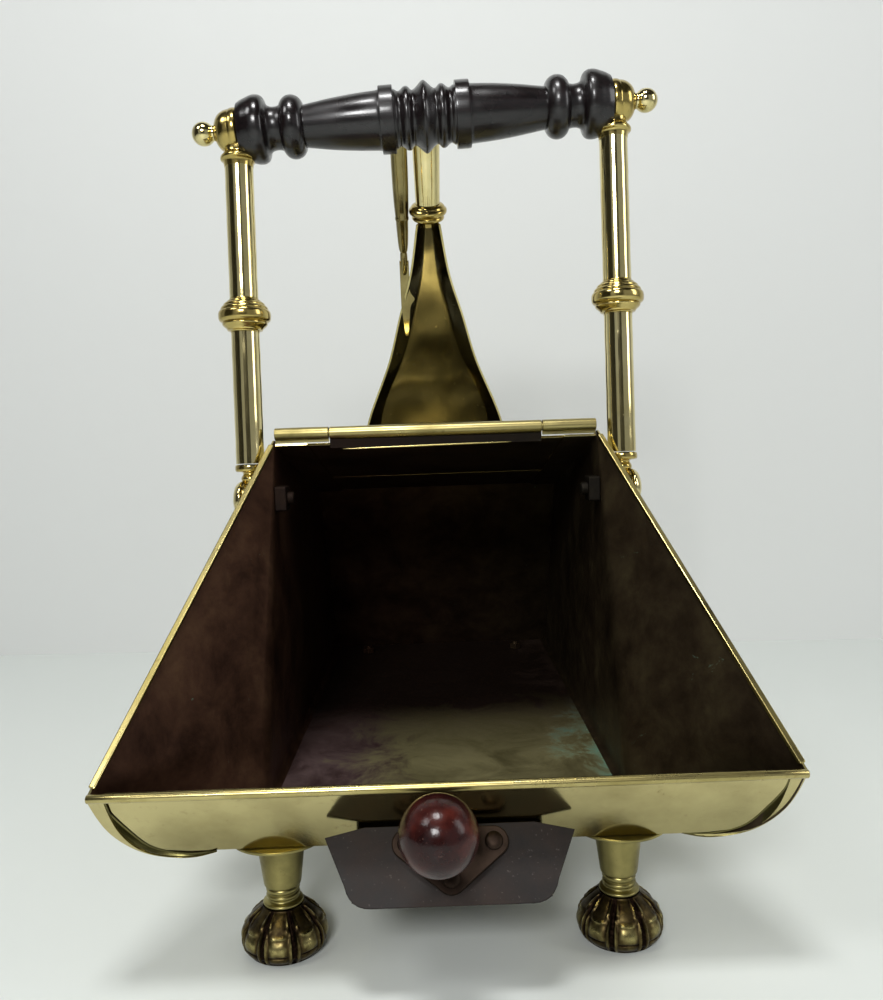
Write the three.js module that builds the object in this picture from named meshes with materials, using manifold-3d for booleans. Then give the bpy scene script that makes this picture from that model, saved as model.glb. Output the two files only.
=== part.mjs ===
// Brass coal scuttle: an open-mouthed box of sheet brass on four lobed feet, with a
// hinged top lid, a swinging bail with a turned wooden grip, a slide-out dust tray with
// a ball knob, and a shovel that stands in a shoe on the sloping back.
// Millimetres, +Z up. The mouth faces -Y, left and right are as seen from the mouth.
// While it is built, Y = 0 is the lip and Z = 0 the table. The last lines centre it.

import * as THREE from 'three';
import { mergeVertices } from 'three/addons/utils/BufferGeometryUtils.js';
import Module from 'manifold-3d';

const wasm = await Module();
wasm.setup();

// ---------------------------------------------------------------- driving sizes

const SEAT = 0.3;              // gap left between pieces that rest on each other
const SHEET = 1.5;             // brass sheet of the body

const BODY_LENGTH = 450;       // lip to the foot of the back
const BODY_WIDTH = 202;        // outside of the box behind the hinge
const LIP_WIDTH = 330;         // across the corners of the lip
const FLOOR_HEIGHT = 62;       // underside of the floor above the table
const LIP_RISE = 41;           // lip above the underside of the floor
const APRON_RUN = 30;          // how far the apron slopes back from the lip
const MOUTH_RUN = 155;         // lip to hinge, along Y
const TOP_RISE = 200;          // front edge of the top above the underside of the floor
const BACK_RISE = 159;         // rear edge of the top above the underside of the floor
const BACK_RUN = 96;           // how far the foot of the back stands behind its top
const CREASE_FOOT = 87;        // where the fold between box and wing meets the floor
const BILGE_REAR = 6;          // size of the rounded lower corner along the box
const BILGE_FRONT = 26.4;      // size of the same corner at the lip
const TOP_FLANGE = 20;         // width of the turned-in top edge of each side

const BEAD_RADIUS = 2.4;       // wired edge of the lip
const BINDING_WIDTH = 3.2;     // brass strip along each side of the mouth
const BINDING_HEIGHT = 2.6;

const HINGE_RADIUS = 3.9;      // outside of the barrel
const HINGE_LIFT = 3.9;        // axis above the front edge of the top
const HINGE_PIN_RADIUS = 2;
const PIN_CLEARANCE = 0.25;
const KNUCKLE_HALF = 65.5;     // half the length of the lid's long middle knuckle
const KNUCKLE_GAP = 0.6;
const HINGE_LEAF_DROP = 9.5;   // inner leaf below the axis

const LID_INSET = 7;            // sides of the body beyond the lid
const LID_LENGTH = 133;
const LID_BEAD_RADIUS = 2.2;
const LID_BEAD_LIFT = 1.6;     // bead's centre above the lid

const FOOT_FLANGE_RADIUS = 25.5;
const FOOT_FLANGE = 1.6;
const FOOT_DOME_HEIGHT = 24;
const FOOT_DOME_RADIUS = 22.5;
const FOOT_BASE_RADIUS = 18;
const FRONT_FOOT_X = 87;
const FRONT_FOOT_Y = 50;
const REAR_FOOT_X = 68;
const REAR_FOOT_SETBACK = 34;  // rear foot's axis ahead of the foot of the back
const STUD_RADIUS = 3;
const STUD_CLEARANCE = 0.3;
const STUD_DEPTH = 16;         // how deep the stud screws into the foot
const STUD_NUT = 11;           // across corners
const STUD_NUT_HEIGHT = 4.5;

const PIVOT_Y = 151;
const PIVOT_RISE = 164.6;      // above the underside of the floor
const PIVOT_BOLT_RADIUS = 4;
const PIVOT_CLEARANCE = 0.3;
const PIVOT_HEAD_RADIUS = 11.3;
const PIVOT_HEAD_HEIGHT = 6.2;
const PIVOT_SPACER_RADIUS = 6.8;
const PIVOT_NUT = 15;          // square nut, across flats
const PIVOT_NUT_HEIGHT = 7;
const PIVOT_BOLT_END = 4;      // bolt beyond the nut

const POST_CLEARANCE = 13.5;   // bail post axis beyond the side of the body
const BAIL_LEAN = 2.5;         // degrees, posts lean back as the scuttle stands
const GRIP_HEIGHT = 229.5;     // grip axis above the pivots, at the centre plane
const GRIP_TILT = 2.6;         // degrees, the right-hand end stands higher
const TUBE_RADIUS = 8.6;
const TUBE_WALL = 1.2;
const SPIGOT_CLEARANCE = 0.3;
const SPIGOT_LENGTH = 10;
const EYE_RADIUS = 10.5;
const EYE_THICKNESS = 5;
const EYE_OFFSET = 2;          // eye outboard of the post axis
const COLLAR_RADIUS = 9.3;
const COLLAR_HEIGHT = 4.6;
const COLLAR_TOP = 21.6;       // above the pivots
const KNOP_HEIGHT = 114.5;     // knop centre above the pivots
const KNOP_RADIUS = 15.9;
const KNOP_HALF = 9.2;
const KNOP_SHIFT = 0.4;        // share of the grip's rise that the knops follow
const ELBOW_RADIUS = 13.4;
const ELBOW_DROP = 21.5;       // grip axis to the top of the tube
const FINIAL_RADIUS = 7.1;
const FINIAL_REACH = 20.8;     // ball centre beyond the post axis
const ROD_RADIUS = 4;
const GRIP_END_GAP = 1.5;      // end of the grip short of the post axis
const GRIP_FLANGE_RADIUS = 19.9;
const GRIP_BORE_CLEARANCE = 0.4;

const TRAY_HALF_WIDTH = 46;
const TRAY_DEPTH = 15;
const TRAY_LENGTH = 220;
const TRAY_SHEET = 1.2;
const TRAY_FLANGE = 3;
const TRAY_FLANGE_FRONT = 42;
const TRAY_GAP = 0.8;          // tray rim below the floor
const RUNNER_LENGTH = 190;
const RUNNER_SHEET = 1.4;
const RUNNER_CLEARANCE = 0.5;

const PLATE_TILT = 39;         // degrees, front plate leans back
const PLATE_THICKNESS = 1.5;
const PLATE_LENGTH = 36;
const PLATE_TOP_HALF = 59.5;
const PLATE_BOTTOM_HALF = 47;
const PLATE_TOP_Y = 18;
const PLATE_TOP_RISE = 13.8;   // above the underside of the floor
const PLATE_CORNER = 10;

const BRACKET_THICKNESS = 2.4;
const BRACKET_LOBE = 7;
const BRACKET_UP = 2.6;        // bracket and knob above the middle of the plate
const RIVET_SPREAD = 20.5;
const RIVET_UP = 6.5;
const RIVET_DOWN = -9.5;
const RIVET_RADIUS = 4.4;
const RIVET_HEIGHT = 2.2;
const KNOB_RADIUS = 17.6;
const KNOB_REACH = 42.5;       // ball centre in front of the plate
const KNOB_OFFSET = -5;
const KNOB_STEM_RADIUS = 4.4;
const KNOB_SOCKET_DEPTH = 9;

const SHOVEL_LENGTH = 262;     // blade, tip to collar
const SHOVEL_TIP = 42;         // tip below the top edge of the back
const SHOVEL_HALF_WIDTH = 64;
const SHOVEL_DEPTH = 22;
const SHOVEL_SHEET = 1.5;
const SHOVEL_STANDOFF = 1;     // blade edges off the back panel
const SHOVEL_TANG_RADIUS = 4.6;
const SHOVEL_AXIS = 13;        // handle axis off the back panel's plane
const SHOVEL_COLLAR_RADIUS = 13.6;
const SHOVEL_COLLAR_LENGTH = 12;
const SHOVEL_TUBE_LENGTH = 62;
const SHOVEL_TUBE_TOP_RADIUS = 10; // the tube widens upwards
const SHOE_HEIGHT = 28;
const SHOE_WALL = 1.8;
const SHOE_CLEARANCE = 1.2;
const HOOK_X = -18.6;
const HOOK_RADIUS = 5.8;
const HOOK_TAIL_WIDTH = 7;

// ---------------------------------------------------------------- worked-out places

const rad = THREE.MathUtils.degToRad;
const BODY_HALF = BODY_WIDTH / 2;
const LIP_HALF = LIP_WIDTH / 2;
const POST_X = BODY_HALF + POST_CLEARANCE;
const GRIP_HALF = POST_X - GRIP_END_GAP;
const LID_HALF_WIDTH = BODY_HALF - LID_INSET;
const FLOOR_TOP = FLOOR_HEIGHT + SHEET;

// Corners of the side view, as (y, z).
const LIP = new THREE.Vector2(0, FLOOR_HEIGHT + LIP_RISE);
const APRON_FOOT = new THREE.Vector2(APRON_RUN, FLOOR_HEIGHT);
const BACK_FOOT = new THREE.Vector2(BODY_LENGTH, FLOOR_HEIGHT);
const BACK_TOP = new THREE.Vector2(BODY_LENGTH - BACK_RUN, FLOOR_HEIGHT + BACK_RISE);
const TOP_FRONT = new THREE.Vector2(MOUTH_RUN, FLOOR_HEIGHT + TOP_RISE);

const HINGE_Z = TOP_FRONT.y + HINGE_LIFT;
const HINGE_HALF = BODY_HALF - SHEET - SEAT;
const PIVOT_Z = FLOOR_HEIGHT + PIVOT_RISE;
const REAR_FOOT_Y = BODY_LENGTH - REAR_FOOT_SETBACK;
const BACK_ANGLE = Math.atan2(BACK_RUN, BACK_RISE);

// ---------------------------------------------------------------- finishes

const finish = (color, roughness, metalness) =>
  new THREE.MeshStandardMaterial({ color, roughness, metalness });
const polishedBrass = () => finish(0xc9a24a, 0.15, 1);
const dulledBrass = () => finish(0x8a7440, 0.4, 1);
const tarnishedBrass = () => finish(0x5b4a35, 0.6, 0.8);
const castBrass = () => finish(0x8d7338, 0.35, 1);
const japannedSteel = () => finish(0x2d2723, 0.4, 0.2);
const darkBronze = () => finish(0x453227, 0.5, 0.7);
const darkSteel = () => finish(0x4a4643, 0.5, 0.9);
const ebonisedWood = () => finish(0x16131a, 0.25, 0);
const varnishedWood = () => finish(0x4a1c17, 0.25, 0);

// ---------------------------------------------------------------- solids

// A closed three.js geometry as a solid that can be cut and joined.
function solid(geometry) {
  const bare = geometry.index ? geometry.toNonIndexed() : geometry.clone();
  for (const name of Object.keys(bare.attributes)) {
    if (name !== 'position') bare.deleteAttribute(name);
  }
  const merged = mergeVertices(bare, 1e-4);
  const mesh = new wasm.Mesh({
    numProp: 3,
    vertProperties: Float32Array.from(merged.attributes.position.array),
    triVerts: Uint32Array.from(merged.index.array),
  });
  return new wasm.Manifold(mesh);
}

// A solid back to a geometry.
function geometryOf(manifold) {
  const mesh = manifold.getMesh();
  const geometry = new THREE.BufferGeometry();
  geometry.setAttribute('position', new THREE.BufferAttribute(mesh.vertProperties, 3));
  geometry.setIndex(new THREE.BufferAttribute(mesh.triVerts, 1));
  geometry.computeVertexNormals();
  return geometry;
}

const join = (...pieces) => pieces.reduce((whole, piece) => whole.add(piece));
const cut = (piece, ...tools) => tools.reduce((left, tool) => left.subtract(tool), piece);

function addPart(group, name, shape, material) {
  const geometry = shape instanceof THREE.BufferGeometry ? shape : geometryOf(shape);
  const mesh = new THREE.Mesh(geometry, material);
  mesh.name = name;
  group.add(mesh);
  return mesh;
}

// A block given by its two opposite corners.
function block(low, high) {
  const size = high.map((value, i) => value - low[i]);
  const geometry = new THREE.BoxGeometry(...size);
  geometry.translate(...low.map((value, i) => (value + high[i]) / 2));
  return solid(geometry);
}

// A turned piece round the Z axis, from (radius, z) points.
function turned(points, segments = 16) {
  const profile = points.map(([r, z]) => new THREE.Vector2(r, z));
  const geometry = new THREE.LatheGeometry(profile, segments);
  geometry.rotateX(Math.PI / 2);
  return solid(geometry);
}

// The same, round the X axis, from (radius, x) points.
function turnedOnX(points, segments = 16) {
  const profile = points.map(([r, x]) => new THREE.Vector2(r, x));
  const geometry = new THREE.LatheGeometry(profile, segments);
  geometry.rotateZ(-Math.PI / 2);
  return solid(geometry);
}

const rod = (radius, z0, z1, segments = 12) =>
  turned([[0, z0], [radius, z0], [radius, z1], [0, z1]], segments);
const rodOnX = (radius, x0, x1, segments = 12) =>
  turnedOnX([[0, x0], [radius, x0], [radius, x1], [0, x1]], segments);

// A tube between two heights: its profile closes on itself.
function pipe(outer, inner, z0, z1, segments = 16) {
  return turned([[inner, z0], [outer, z0], [outer, z1], [inner, z1], [inner, z0]], segments);
}

// An outline of (y, z) points carried along X from x0 to x1.
function alongX(points, x0, x1) {
  const shape = new THREE.Shape(points.map(([y, z]) => new THREE.Vector2(y, z)));
  const geometry = new THREE.ExtrudeGeometry(shape, { depth: x1 - x0, bevelEnabled: false });
  geometry.translate(0, 0, x0);
  const turn = new THREE.Matrix4().makeBasis(
    new THREE.Vector3(0, 1, 0), new THREE.Vector3(0, 0, 1), new THREE.Vector3(1, 0, 0));
  geometry.applyMatrix4(turn);
  return solid(geometry);
}

// An outline of (x, y) points carried up from z0 to z1.
function alongZ(shape, z0, z1, curveSegments = 6) {
  const options = { depth: z1 - z0, bevelEnabled: false, curveSegments };
  const geometry = new THREE.ExtrudeGeometry(shape, options);
  geometry.translate(0, 0, z0);
  return solid(geometry);
}

const shapeOf = (points) => new THREE.Shape(points.map(([x, y]) => new THREE.Vector2(x, y)));

// A closed skin through rings of points, each a closed outline of equal count that lies
// square to the given axis, in rising order along it.
function loft(axis, rings) {
  const flat = (ring) => ring.map((p) => (axis === 'y'
    ? new THREE.Vector2(p.z, p.x) : new THREE.Vector2(p.x, p.y)));
  const turnedRings = rings.map((ring) =>
    (THREE.ShapeUtils.isClockWise(flat(ring)) ? [...ring].reverse() : ring));
  const count = rings[0].length;
  const last = (rings.length - 1) * count;
  const index = [];
  for (let start = 0; start < last; start += count) {
    for (let i = 0; i < count; i++) {
      const a = start + i;
      const b = start + ((i + 1) % count);
      index.push(a, b, b + count, a, b + count, a + count);
    }
  }
  const capOf = (ring) => THREE.ShapeUtils.triangulateShape(flat(ring), []);
  for (const [a, b, c] of capOf(turnedRings[0])) index.push(a, c, b);
  for (const [a, b, c] of capOf(turnedRings.at(-1))) index.push(last + a, last + b, last + c);
  const positions = turnedRings.flat().flatMap((p) => [p.x, p.y, p.z]);
  const geometry = new THREE.BufferGeometry();
  geometry.setAttribute('position', new THREE.Float32BufferAttribute(positions, 3));
  geometry.setIndex(index);
  return solid(geometry);
}

// ---------------------------------------------------------------- shape of the body

// How far a point of the side view lies in front of the fold between box and wing.
const CREASE = new THREE.Vector2(MOUTH_RUN - CREASE_FOOT, TOP_RISE - SHEET).normalize();
function aheadOfCrease(y, z) {
  return -CREASE.y * (y - TOP_FRONT.x) + CREASE.x * (z - TOP_FRONT.y);
}
const WING_SLOPE = (LIP_HALF - BODY_HALF) / aheadOfCrease(LIP.x, LIP.y);

// Half the outside width of the body at a point of the side view.
const halfWidth = (y, z) => BODY_HALF + WING_SLOPE * Math.max(0, aheadOfCrease(y, z));

const bilge = (y) =>
  BILGE_REAR + (BILGE_FRONT - BILGE_REAR) * Math.max(0, 1 - y / CREASE_FOOT);
const flatHalf = (y) => halfWidth(y, FLOOR_HEIGHT) - bilge(y);

// Half a cross-section at y, from the edge of the flat bottom up past the top, inset
// from the outside by the given amount.
function sideSection(y, inset) {
  const low = FLOOR_HEIGHT + inset;
  const high = TOP_FRONT.y + 15;
  const round = bilge(y);
  const corner = halfWidth(y, FLOOR_HEIGHT);
  const wallFoot = FLOOR_HEIGHT + round;
  const curve = new THREE.QuadraticBezierCurve(
    new THREE.Vector2(corner - round, low),
    new THREE.Vector2(corner - inset, low),
    new THREE.Vector2(halfWidth(y, wallFoot) - inset, wallFoot));
  const points = curve.getPoints(6);
  const foldZ = TOP_FRONT.y + (y - TOP_FRONT.x) * CREASE.y / CREASE.x;
  const fold = THREE.MathUtils.clamp(foldZ, wallFoot + 3, TOP_FRONT.y - 3);
  points.push(new THREE.Vector2(halfWidth(y, fold) - inset, fold));
  points.push(new THREE.Vector2(halfWidth(y, high) - inset, high));
  return points;
}

const STATIONS = [-12, CREASE_FOOT, MOUTH_RUN, BODY_LENGTH + 12];

const ringAt = (y, points) => points.map((p) => new THREE.Vector3(p.x, y, p.y));

// Sheet of the right-hand side, before it is trimmed.
const sideSheet = loft('y', STATIONS.map((y) =>
  ringAt(y, [...sideSection(y, 0), ...sideSection(y, SHEET).reverse()])));

// Everything that lies inside the sheet, right across the body.
const insideBody = loft('y', STATIONS.map((y) => {
  const side = sideSection(y, SHEET + SEAT);
  const edge = new THREE.Vector2(flatHalf(y) - SEAT, FLOOR_HEIGHT);
  const right = [edge, new THREE.Vector2(edge.x, FLOOR_TOP + SEAT), ...side.slice(1)];
  const left = right.map((p) => new THREE.Vector2(-p.x, p.y)).reverse();
  return ringAt(y, [...right, ...left]);
}));

const OUTLINE = [LIP, APRON_FOOT, BACK_FOOT, BACK_TOP, TOP_FRONT].map((p) => [p.x, p.y]);
const sideView = alongX(OUTLINE, -LIP_WIDTH, LIP_WIDTH);

// A strip of sheet just inside the side view's edge from a to b, between two depths.
function edgeStrip(a, b, near, far, x0, x1, from = 0, to = 1) {
  const along = new THREE.Vector2().subVectors(b, a);
  const inward = new THREE.Vector2(-along.y, along.x).normalize();
  const at = (share, depth) => {
    const point = new THREE.Vector2().lerpVectors(a, b, share).addScaledVector(inward, depth);
    return [point.x, point.y];
  };
  return alongX([at(from, near), at(to, near), at(to, far), at(from, far)], x0, x1);
}

const topLength = BACK_TOP.distanceTo(TOP_FRONT);
const flangeLow = 2 * SHEET + SEAT;
const flangeHigh = SHEET + SEAT;
const backFlangeEnd = (SHEET + 2 * SEAT) / topLength;

const pivotHole = rodOnX(PIVOT_BOLT_RADIUS + PIVOT_CLEARANCE, -LIP_HALF, LIP_HALF)
  .translate([0, PIVOT_Y, PIVOT_Z]);

function sideShell() {
  const wall = sideSheet.intersect(sideView);
  const flange = edgeStrip(BACK_TOP, TOP_FRONT, flangeHigh, flangeLow,
    BODY_HALF - SHEET - TOP_FLANGE, BODY_HALF - SHEET / 2, backFlangeEnd);
  return cut(join(wall, flange.intersect(sideView)), pivotHole);
}

const mirrored = (piece) => piece.mirror([1, 0, 0]);

const root = new THREE.Group();
const body = new THREE.Group();
root.add(body);

const rightShell = sideShell();
addPart(body, 'side_shell_left', mirrored(rightShell), polishedBrass());
addPart(body, 'side_shell_right', rightShell, polishedBrass());

// ---------------------------------------------------------------- floor, apron, back

const FEET = [
  ['front_left', -FRONT_FOOT_X, FRONT_FOOT_Y],
  ['front_right', FRONT_FOOT_X, FRONT_FOOT_Y],
  ['rear_left', -REAR_FOOT_X, REAR_FOOT_Y],
  ['rear_right', REAR_FOOT_X, REAR_FOOT_Y],
];

const apronThickness = SHEET / Math.sin(Math.atan2(LIP_RISE, APRON_RUN));
const backThickness = SHEET / Math.cos(BACK_ANGLE);

function floorPanel() {
  const front = APRON_RUN + apronThickness + SEAT;
  const rear = BODY_LENGTH - backThickness - SHEET * BACK_RUN / BACK_RISE - SEAT;
  const right = [front, CREASE_FOOT, rear].map((y) => [flatHalf(y) - SEAT, y]);
  const left = right.map(([x, y]) => [-x, y]).reverse();
  const panel = alongZ(shapeOf([...right, ...left]), FLOOR_HEIGHT, FLOOR_TOP);
  const holes = FEET.map(([, x, y]) =>
    rod(STUD_RADIUS + STUD_CLEARANCE, 0, FLOOR_TOP + 5).translate([x, y, 0]));
  return cut(panel, ...holes);
}

const acrossBody = [-LIP_WIDTH, LIP_WIDTH];
const apron = edgeStrip(LIP, APRON_FOOT, 0, SHEET, ...acrossBody)
  .intersect(sideView).intersect(insideBody);
const back = edgeStrip(BACK_FOOT, BACK_TOP, 0, SHEET, ...acrossBody)
  .intersect(sideView).intersect(insideBody);

addPart(body, 'floor_panel', floorPanel(), tarnishedBrass());
addPart(body, 'front_apron', apron, polishedBrass());
addPart(body, 'back_panel', back, polishedBrass());

// Fixed strip of the top behind the lid.
const lidShare = (LID_LENGTH + LID_BEAD_RADIUS + 1) / topLength;
const topRear = edgeStrip(BACK_TOP, TOP_FRONT, 0, SHEET,
  -HINGE_HALF, HINGE_HALF, backFlangeEnd, 1 - lidShare);
addPart(body, 'top_rear_panel', topRear, polishedBrass());

// ---------------------------------------------------------------- edges of the mouth

const lipBead = rodOnX(BEAD_RADIUS, 1 - LIP_HALF, LIP_HALF - 1, 14)
  .translate([0, LIP.x - BEAD_RADIUS - SEAT, LIP.y]);
addPart(body, 'lip_bead', lipBead, polishedBrass());

function mouthBinding() {
  const inset = BINDING_WIDTH / 2 + 0.2;
  const start = new THREE.Vector3(LIP_HALF - inset, LIP.x, LIP.y);
  const end = new THREE.Vector3(BODY_HALF - inset, TOP_FRONT.x, TOP_FRONT.y);
  const along = end.clone().sub(start);
  const length = along.length();
  along.normalize();
  const mouth = new THREE.Vector2().subVectors(TOP_FRONT, LIP).normalize();
  const out = new THREE.Vector3(0, -mouth.y, mouth.x);
  const across = new THREE.Vector3().crossVectors(out, along).normalize();
  const startTrim = BINDING_WIDTH;
  const endTrim = HINGE_RADIUS + 2;
  const geometry = new THREE.BoxGeometry(length - startTrim - endTrim, BINDING_WIDTH, BINDING_HEIGHT);
  geometry.translate((length + startTrim - endTrim) / 2, 0, BINDING_HEIGHT / 2 + SEAT);
  geometry.applyMatrix4(new THREE.Matrix4().makeBasis(along, across, out).setPosition(start));
  return solid(geometry);
}

const rightBinding = mouthBinding();
addPart(body, 'mouth_binding_left', mirrored(rightBinding), polishedBrass());
addPart(body, 'mouth_binding_right', rightBinding, polishedBrass());

// ---------------------------------------------------------------- lid and its hinge

const pinHole = rodOnX(HINGE_PIN_RADIUS + PIN_CLEARANCE, -BODY_HALF, BODY_HALF, 14)
  .translate([0, TOP_FRONT.x, HINGE_Z]);
const barrel = (x0, x1) => rodOnX(HINGE_RADIUS, x0, x1, 18).translate([0, TOP_FRONT.x, HINGE_Z]);

// A knuckle at the end of the barrel, with a tab down to the side's top flange.
function bodyKnuckle() {
  const inner = KNUCKLE_HALF + KNUCKLE_GAP;
  const tabEnd = 9;
  const tab = edgeStrip(BACK_TOP, TOP_FRONT, 0, SHEET, BODY_HALF - SHEET - TOP_FLANGE,
    HINGE_HALF, 1 - tabEnd / topLength, 1);
  const riser = block([BODY_HALF - SHEET - TOP_FLANGE, TOP_FRONT.x, TOP_FRONT.y - SHEET],
    [HINGE_HALF, TOP_FRONT.x + SHEET, HINGE_Z]);
  return cut(join(barrel(inner, HINGE_HALF), tab, riser), pinHole);
}

const rightKnuckle = bodyKnuckle();
addPart(body, 'hinge_knuckle_left', mirrored(rightKnuckle), dulledBrass());
addPart(body, 'hinge_knuckle_right', rightKnuckle, dulledBrass());
addPart(body, 'hinge_pin', rodOnX(HINGE_PIN_RADIUS, -HINGE_HALF, HINGE_HALF, 14)
  .translate([0, TOP_FRONT.x, HINGE_Z]), darkSteel());

const lid = new THREE.Group();
root.add(lid);

const LID_NOTCH = 11;          // lid set back from the body's knuckles
const lidEnd = 1 - LID_LENGTH / topLength;

function lidPanel() {
  const wide = edgeStrip(BACK_TOP, TOP_FRONT, 0, SHEET, -LID_HALF_WIDTH, LID_HALF_WIDTH,
    lidEnd, 1 - LID_NOTCH / topLength);
  const tongue = edgeStrip(BACK_TOP, TOP_FRONT, 0, SHEET, -KNUCKLE_HALF, KNUCKLE_HALF,
    1 - (LID_NOTCH + 1) / topLength, 1 - (SHEET + 3 * SEAT) / topLength);
  const rearEdge = new THREE.Vector2().lerpVectors(BACK_TOP, TOP_FRONT, lidEnd);
  const bead = rodOnX(LID_BEAD_RADIUS, -LID_HALF_WIDTH, LID_HALF_WIDTH, 12)
    .translate([0, rearEdge.x, rearEdge.y + LID_BEAD_LIFT]);
  return join(wide, tongue, bead);
}

function lidKnuckle() {
  const riser = block([-KNUCKLE_HALF, TOP_FRONT.x, TOP_FRONT.y - SHEET],
    [KNUCKLE_HALF, TOP_FRONT.x + SHEET, HINGE_Z]);
  const leaf = block([-KNUCKLE_HALF, TOP_FRONT.x, HINGE_Z - HINGE_LEAF_DROP],
    [KNUCKLE_HALF, TOP_FRONT.x + SHEET, HINGE_Z]);
  return cut(join(barrel(-KNUCKLE_HALF, KNUCKLE_HALF), riser, leaf), pinHole);
}

addPart(lid, 'lid_panel', lidPanel(), polishedBrass());
addPart(lid, 'lid_knuckle', lidKnuckle(), dulledBrass());

// ---------------------------------------------------------------- feet

// Flange, tapered cup and two rings of one foot, with a blind hole for the stud.
function footCup() {
  const top = FLOOR_HEIGHT - SEAT;
  const under = top - FOOT_FLANGE;
  const seat = FOOT_DOME_HEIGHT + SEAT;
  const hole = STUD_RADIUS + STUD_CLEARANCE;
  return turned([
    [0, seat], [9.9, seat], [10.3, seat + 1.2], [9.6, seat + 2.2], [8.2, seat + 3],
    [8.7, seat + 4.6], [8.1, seat + 5.8], [8.7, seat + 7.6], [8.4, seat + 9],
    [9.6, seat + 10.6], [12.4, under - 3], [14.5, under],
    [FOOT_FLANGE_RADIUS, under], [FOOT_FLANGE_RADIUS, top], [hole, top],
    [hole, top - STUD_DEPTH], [0, top - STUD_DEPTH],
  ], 16);
}

// The lobed lower part, flat where it stands.
function footDome() {
  const r = FOOT_DOME_RADIUS;
  const h = FOOT_DOME_HEIGHT;
  return turned([
    [0, 0], [FOOT_BASE_RADIUS, 0], [r * 0.93, h * 0.1], [r, h * 0.28], [r * 0.96, h * 0.48],
    [r * 0.86, h * 0.7], [r * 0.7, h * 0.88], [r * 0.52, h * 0.97], [r * 0.46, h], [0, h],
  ], 16);
}

// Stud and nut that hold the foot up to the floor.
function footStud() {
  const nut = turned([
    [0, FLOOR_TOP + SEAT], [STUD_NUT / 2, FLOOR_TOP + SEAT],
    [STUD_NUT / 2, FLOOR_TOP + SEAT + STUD_NUT_HEIGHT], [0, FLOOR_TOP + SEAT + STUD_NUT_HEIGHT],
  ], 6);
  const bottom = FLOOR_HEIGHT - STUD_DEPTH + SEAT;
  return join(rod(STUD_RADIUS, bottom, FLOOR_TOP + STUD_NUT_HEIGHT + 2, 12), nut);
}

for (const [place, x, y] of FEET) {
  const foot = new THREE.Group();
  foot.position.set(x, y, 0);
  body.add(foot);
  addPart(foot, `foot_cup_${place}`, footCup(), polishedBrass());
  addPart(foot, `foot_dome_${place}`, footDome(), castBrass());
  addPart(foot, `foot_stud_${place}`, footStud(), dulledBrass());
}

// ---------------------------------------------------------------- bail pivots

const eyeInner = POST_X + EYE_OFFSET - EYE_THICKNESS / 2;
const eyeOuter = eyeInner + EYE_THICKNESS;
const nutFace = BODY_HALF - SHEET - SEAT;

function pivotBolt() {
  const r = PIVOT_HEAD_RADIUS;
  const h = PIVOT_HEAD_HEIGHT;
  const face = eyeOuter + SEAT;
  const end = nutFace - PIVOT_NUT_HEIGHT - PIVOT_BOLT_END;
  return turnedOnX([
    [0, end], [PIVOT_BOLT_RADIUS, end], [PIVOT_BOLT_RADIUS, face], [r, face],
    [r, face + h * 0.25], [r * 0.85, face + h * 0.65], [r * 0.5, face + h * 0.93], [0, face + h],
  ], 16);
}

function pivotNut() {
  const half = PIVOT_NUT / 2;
  const nut = block([nutFace - PIVOT_NUT_HEIGHT, -half, -half], [nutFace, half, half]);
  return cut(nut, rodOnX(PIVOT_BOLT_RADIUS + PIVOT_CLEARANCE, 0, POST_X));
}

function pivotSpacer() {
  const bore = PIVOT_BOLT_RADIUS + PIVOT_CLEARANCE;
  const x0 = BODY_HALF + SEAT;
  const x1 = eyeInner - SEAT;
  const r = PIVOT_SPACER_RADIUS;
  return turnedOnX([[bore, x0], [r, x0], [r, x1], [bore, x1], [bore, x0]], 18);
}

for (const [side, turn] of [['left', mirrored], ['right', (piece) => piece]]) {
  const pivot = new THREE.Group();
  pivot.position.set(0, PIVOT_Y, PIVOT_Z);
  body.add(pivot);
  addPart(pivot, `pivot_bolt_${side}`, turn(pivotBolt()), polishedBrass());
  addPart(pivot, `pivot_nut_${side}`, turn(pivotNut()), dulledBrass());
  addPart(pivot, `pivot_spacer_${side}`, turn(pivotSpacer()), dulledBrass());
}

// ---------------------------------------------------------------- bail

const bail = new THREE.Group();
bail.position.set(0, PIVOT_Y, PIVOT_Z);
bail.rotation.x = -rad(BAIL_LEAN);
root.add(bail);

const tubeBore = TUBE_RADIUS - TUBE_WALL;
const spigot = tubeBore - SPIGOT_CLEARANCE;
const gripRise = POST_X * Math.tan(rad(GRIP_TILT));

// Flat eye, round neck and collar at the foot of a post.
function bailEye(sign) {
  const x = sign * (POST_X + EYE_OFFSET);
  const half = EYE_THICKNESS / 2;
  const collarFoot = COLLAR_TOP - COLLAR_HEIGHT;
  const disc = rodOnX(EYE_RADIUS, x - half, x + half, 20);
  const shank = block([x - half, -4.5, 0], [x + half, 4.5, collarFoot - 1]);
  const neck = turned([
    [0, 10.5], [4, 10.5], [5.4, 12.5], [5.4, 14], [4.6, collarFoot - 1],
    [COLLAR_RADIUS * 0.8, collarFoot], [COLLAR_RADIUS, collarFoot + 1.6],
    [COLLAR_RADIUS, collarFoot + 3], [COLLAR_RADIUS * 0.92, COLLAR_TOP],
    [spigot, COLLAR_TOP], [spigot, COLLAR_TOP + SPIGOT_LENGTH], [0, COLLAR_TOP + SPIGOT_LENGTH],
  ], 16).translate([sign * POST_X, 0, 0]);
  const hole = rodOnX(PIVOT_BOLT_RADIUS + PIVOT_CLEARANCE, x - 2 * half, x + 2 * half);
  return cut(join(disc, shank, neck), hole);
}

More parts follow.
